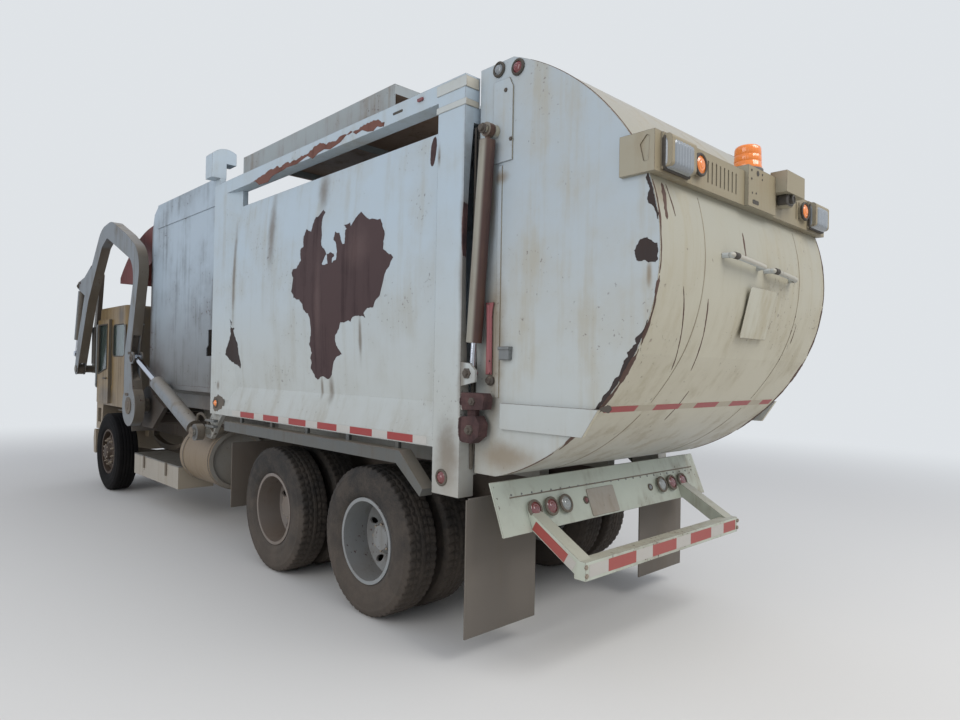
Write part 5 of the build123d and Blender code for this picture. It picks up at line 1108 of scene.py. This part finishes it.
# Cab doors: a pane in a rubber frame, a bent handle, and a galvanised grab rail on the pillar
# ahead of the door. Behind it are two black strips and the corner window's rubber
PANE_EDGE = [(6.540, 1.640), (6.950, 1.560), (6.950, 2.260), (6.540, 2.260)]
HANDLE = [(6.54, 1.136, 1.50), (6.545, 1.158, 1.502), (6.60, 1.160, 1.505), (6.655, 1.158, 1.502),
          (6.66, 1.136, 1.50)]
GRAB_RAIL = [(7.040, 1.095, 1.36), (7.042, 1.140, 1.38), (7.040, 1.142, 1.50), (7.036, 1.142, 2.05),
             (7.034, 1.140, 2.25), (7.030, 1.095, 2.27)]
CAB_STRIPS = [(6.44, 0.016), (5.86, 0.022)]
for side, sign in SIDES:
    face = (0, sign, 0)
    middle = np.mean(PANE_EDGE, axis=0)
    corners = [((x - middle[0]) * -sign, z - middle[1]) for x, z in PANE_EDGE][::-sign]
    pane = stand(slab(corners, 0.006, 0.001), (middle[0], sign * 1.117, middle[1]), face)
    fit(f"door_pane_{side}", [pane], screen_glass, f"door_{side}")
    loop = [(at(x), sign * 1.1395, z) for x, z in PANE_EDGE + PANE_EDGE[:1]]
    fit(f"door_seal_{side}", [tube(np.linspace(a, b, 4), 0.010, 8) for a, b in zip(loop, loop[1:])],
        gasket, f"door_{side}")
    handle = tube(smooth([(at(x), sign * y, z) for x, y, z in HANDLE]), 0.009, 10)
    fit(f"door_handle_{side}", [handle], black_plastic, f"door_{side}")
    rail = tube(smooth([(at(x), sign * y, z) for x, y, z in GRAB_RAIL]), 0.014, 10)
    fit(f"grab_rail_{side}", [rail], galvanised, "chassis")
    fit(f"cab_strip_{side}", [plate((wide, 0.42, 0.006), 0.0012, 0.0003, (x, sign * 1.0993, 1.82),
                                    face) for x, wide in CAB_STRIPS],
        black_plastic, "chassis")
    window, inner = rounded(0.268, 0.228, 0.066, 8), rounded(0.252, 0.212, 0.056, 8)
    rings = ((0.0, window), (0.001, window * 0.99), (0.0015, inner * 1.01), (0.0, inner),
             (-0.012, inner), (-0.004, window))
    points = np.concatenate([np.column_stack([np.full(len(ring), x), ring]) for x, ring in rings])
    index = np.arange(len(points)).reshape(len(rings), -1)
    seal = (points, shells(np.concatenate([index, index[:1]])))
    fit(f"corner_seal_{side}", [stand(seal, (6.150, sign * 1.099, 2.030), face)],
        gasket, "chassis")

# Cab front: pressed headlamp glasses in chromed rings, and a wiper on each half of the screen
HEADLAMP = [(0, 0), (0, 0.084), (0.006, 0.083), (0.016, 0.06), (0.020, 0.03), (0.021, 0)]
BEZEL = [(0, 0.086), (0, 0.103), (0.010, 0.100), (0.012, 0.090), (0.004, 0.086), (0, 0.086)]
BLADE = [(7.118, 0.42, 1.60), (7.090, 0.52, 1.90), (7.062, 0.60, 2.16)]
WIPER_ARM = [(7.138, 0.30, 1.560), (7.128, 0.38, 1.70), (7.106, 0.50, 1.86)]
for side, sign in SIDES:
    fit(f"headlamp_{side}", [turned(HEADLAMP, 36, (7.151, sign * 0.86, 0.90), AHEAD)], clear_lens,
        "chassis")
    fit(f"headlamp_ring_{side}", [turned(BEZEL, 36, (7.144, sign * 0.86, 0.90), AHEAD)], chrome,
        "chassis")
    fit(f"wiper_{side}", [tube([(at(x), sign * y, z) for x, y, z in stops], radius, 6)
                          for stops, radius in ((BLADE, 0.007), (WIPER_ARM, 0.008))],
        black_plastic, "chassis")

# Battery box: a zinc lid with rounded corners, held by two rubber latches
fit("battery_lid", [plate((0.755, 0.200, 0.02), 0.014, 0.004, (4.43, 0.955, 0.584), (0, 0, 1),
                          (0, 1, 0))], galvanised, "chassis")
fit("battery_latches", [plate((0.018, 0.075, 0.008), 0.018, 0.004, (x, 1.148, 0.525), (0, 1, 0))
                        for x in (4.05, 4.80)], gasket, "chassis")

# Studio: a pale floor that fades into a pale backdrop, a soft key from behind the truck's left,
# a fill and a faintly blue sky
BACKDROP = (0.74, 0.77, 0.80, 1)


def seen_plainly(tree, kind):
    """Factor that is 1 for the camera and through glass, and a flat shader of the backdrop."""
    path = put(tree, "ShaderNodeLightPath").outputs
    direct = calc(tree, "MAXIMUM", path["Is Camera Ray"], path["Is Transmission Ray"])
    return direct, put(tree, kind, {"Color": BACKDROP, "Strength": 1.0}).outputs[0]


FLOOR_HALF = 60
corners = FLOOR_HALF * np.array([(-1, -1, 0), (1, -1, 0), (1, 1, 0), (-1, 1, 0)], float)
floor = mesh_object("floor", corners, [[0, 1, 2, 3]],
                    plain("floor", (0.66, 0.64, 0.61), 0.85, speckle=0.02))
tree = floor.data.materials[0].node_tree
direct, flat = seen_plainly(tree, "ShaderNodeEmission")
away = put(tree, "ShaderNodeVectorMath", {0: put(tree, "ShaderNodeTexCoord").outputs["Object"]},
           operation="LENGTH").outputs["Value"]
blend = put(tree, "ShaderNodeMixShader",
            {0: calc(tree, "MULTIPLY", direct, ramp(tree, away, 6.5, 15.0)),
             1: tree.nodes["Principled BSDF"].outputs["BSDF"], 2: flat})
tree.links.new(blend.outputs["Shader"], tree.nodes["Material Output"].inputs["Surface"])
floor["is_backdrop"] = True
world = bpy.data.worlds.new("studio")
bpy.context.scene.world = world
world.use_nodes = True
tree = world.node_tree
sky = tree.nodes["Background"]
sky.inputs["Color"].default_value = (0.84, 0.90, 1.0, 1)
sky.inputs["Strength"].default_value = 0.78
direct, flat = seen_plainly(tree, "ShaderNodeBackground")
blend = put(tree, "ShaderNodeMixShader", {0: direct, 1: sky.outputs["Background"], 2: flat})
tree.links.new(blend.outputs["Shader"], tree.nodes["World Output"].inputs["Surface"])
for name, place, aim, size, power in (
        ("key", (-11.0, -1.5, 9.5), (-1.5, 0, 1.5), 6.0, 700.0),
        ("fill", (-3.0, 13.0, 6.0), (0, 0, 1.5), 9.0, 560.0)):
    lamp = bpy.data.lights.new(name, "AREA")
    lamp.size, lamp.energy = size, power
    light = bpy.data.objects.new(name, lamp)
    bpy.context.scene.collection.objects.link(light)
    light.location = place
    light.rotation_euler = (Vector(place) - Vector(aim)).to_track_quat("Z", "Y").to_euler()
    light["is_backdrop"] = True
camera_data = bpy.data.cameras.new("camera")
camera_data.lens, camera_data.sensor_width = 25.19, 36.0
camera = bpy.data.objects.new("camera", camera_data)
bpy.context.scene.collection.objects.link(camera)
camera.matrix_world = Matrix(((-0.69085931, 0.00301309, -0.72298294, -3.928 + STATION_ZERO),
                              (-0.72277275, 0.02159065, 0.69074843, 3.874),
                              (0.01769096, 0.99976235, -0.01273832, 1.73), (0, 0, 0, 1)))
bpy.context.scene.camera = camera
bpy.context.scene.view_settings.view_transform = "Standard"

low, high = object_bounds()
{"cad": [list(cad_low), list(cad_high)], "visual": [list(low), list(high)]}
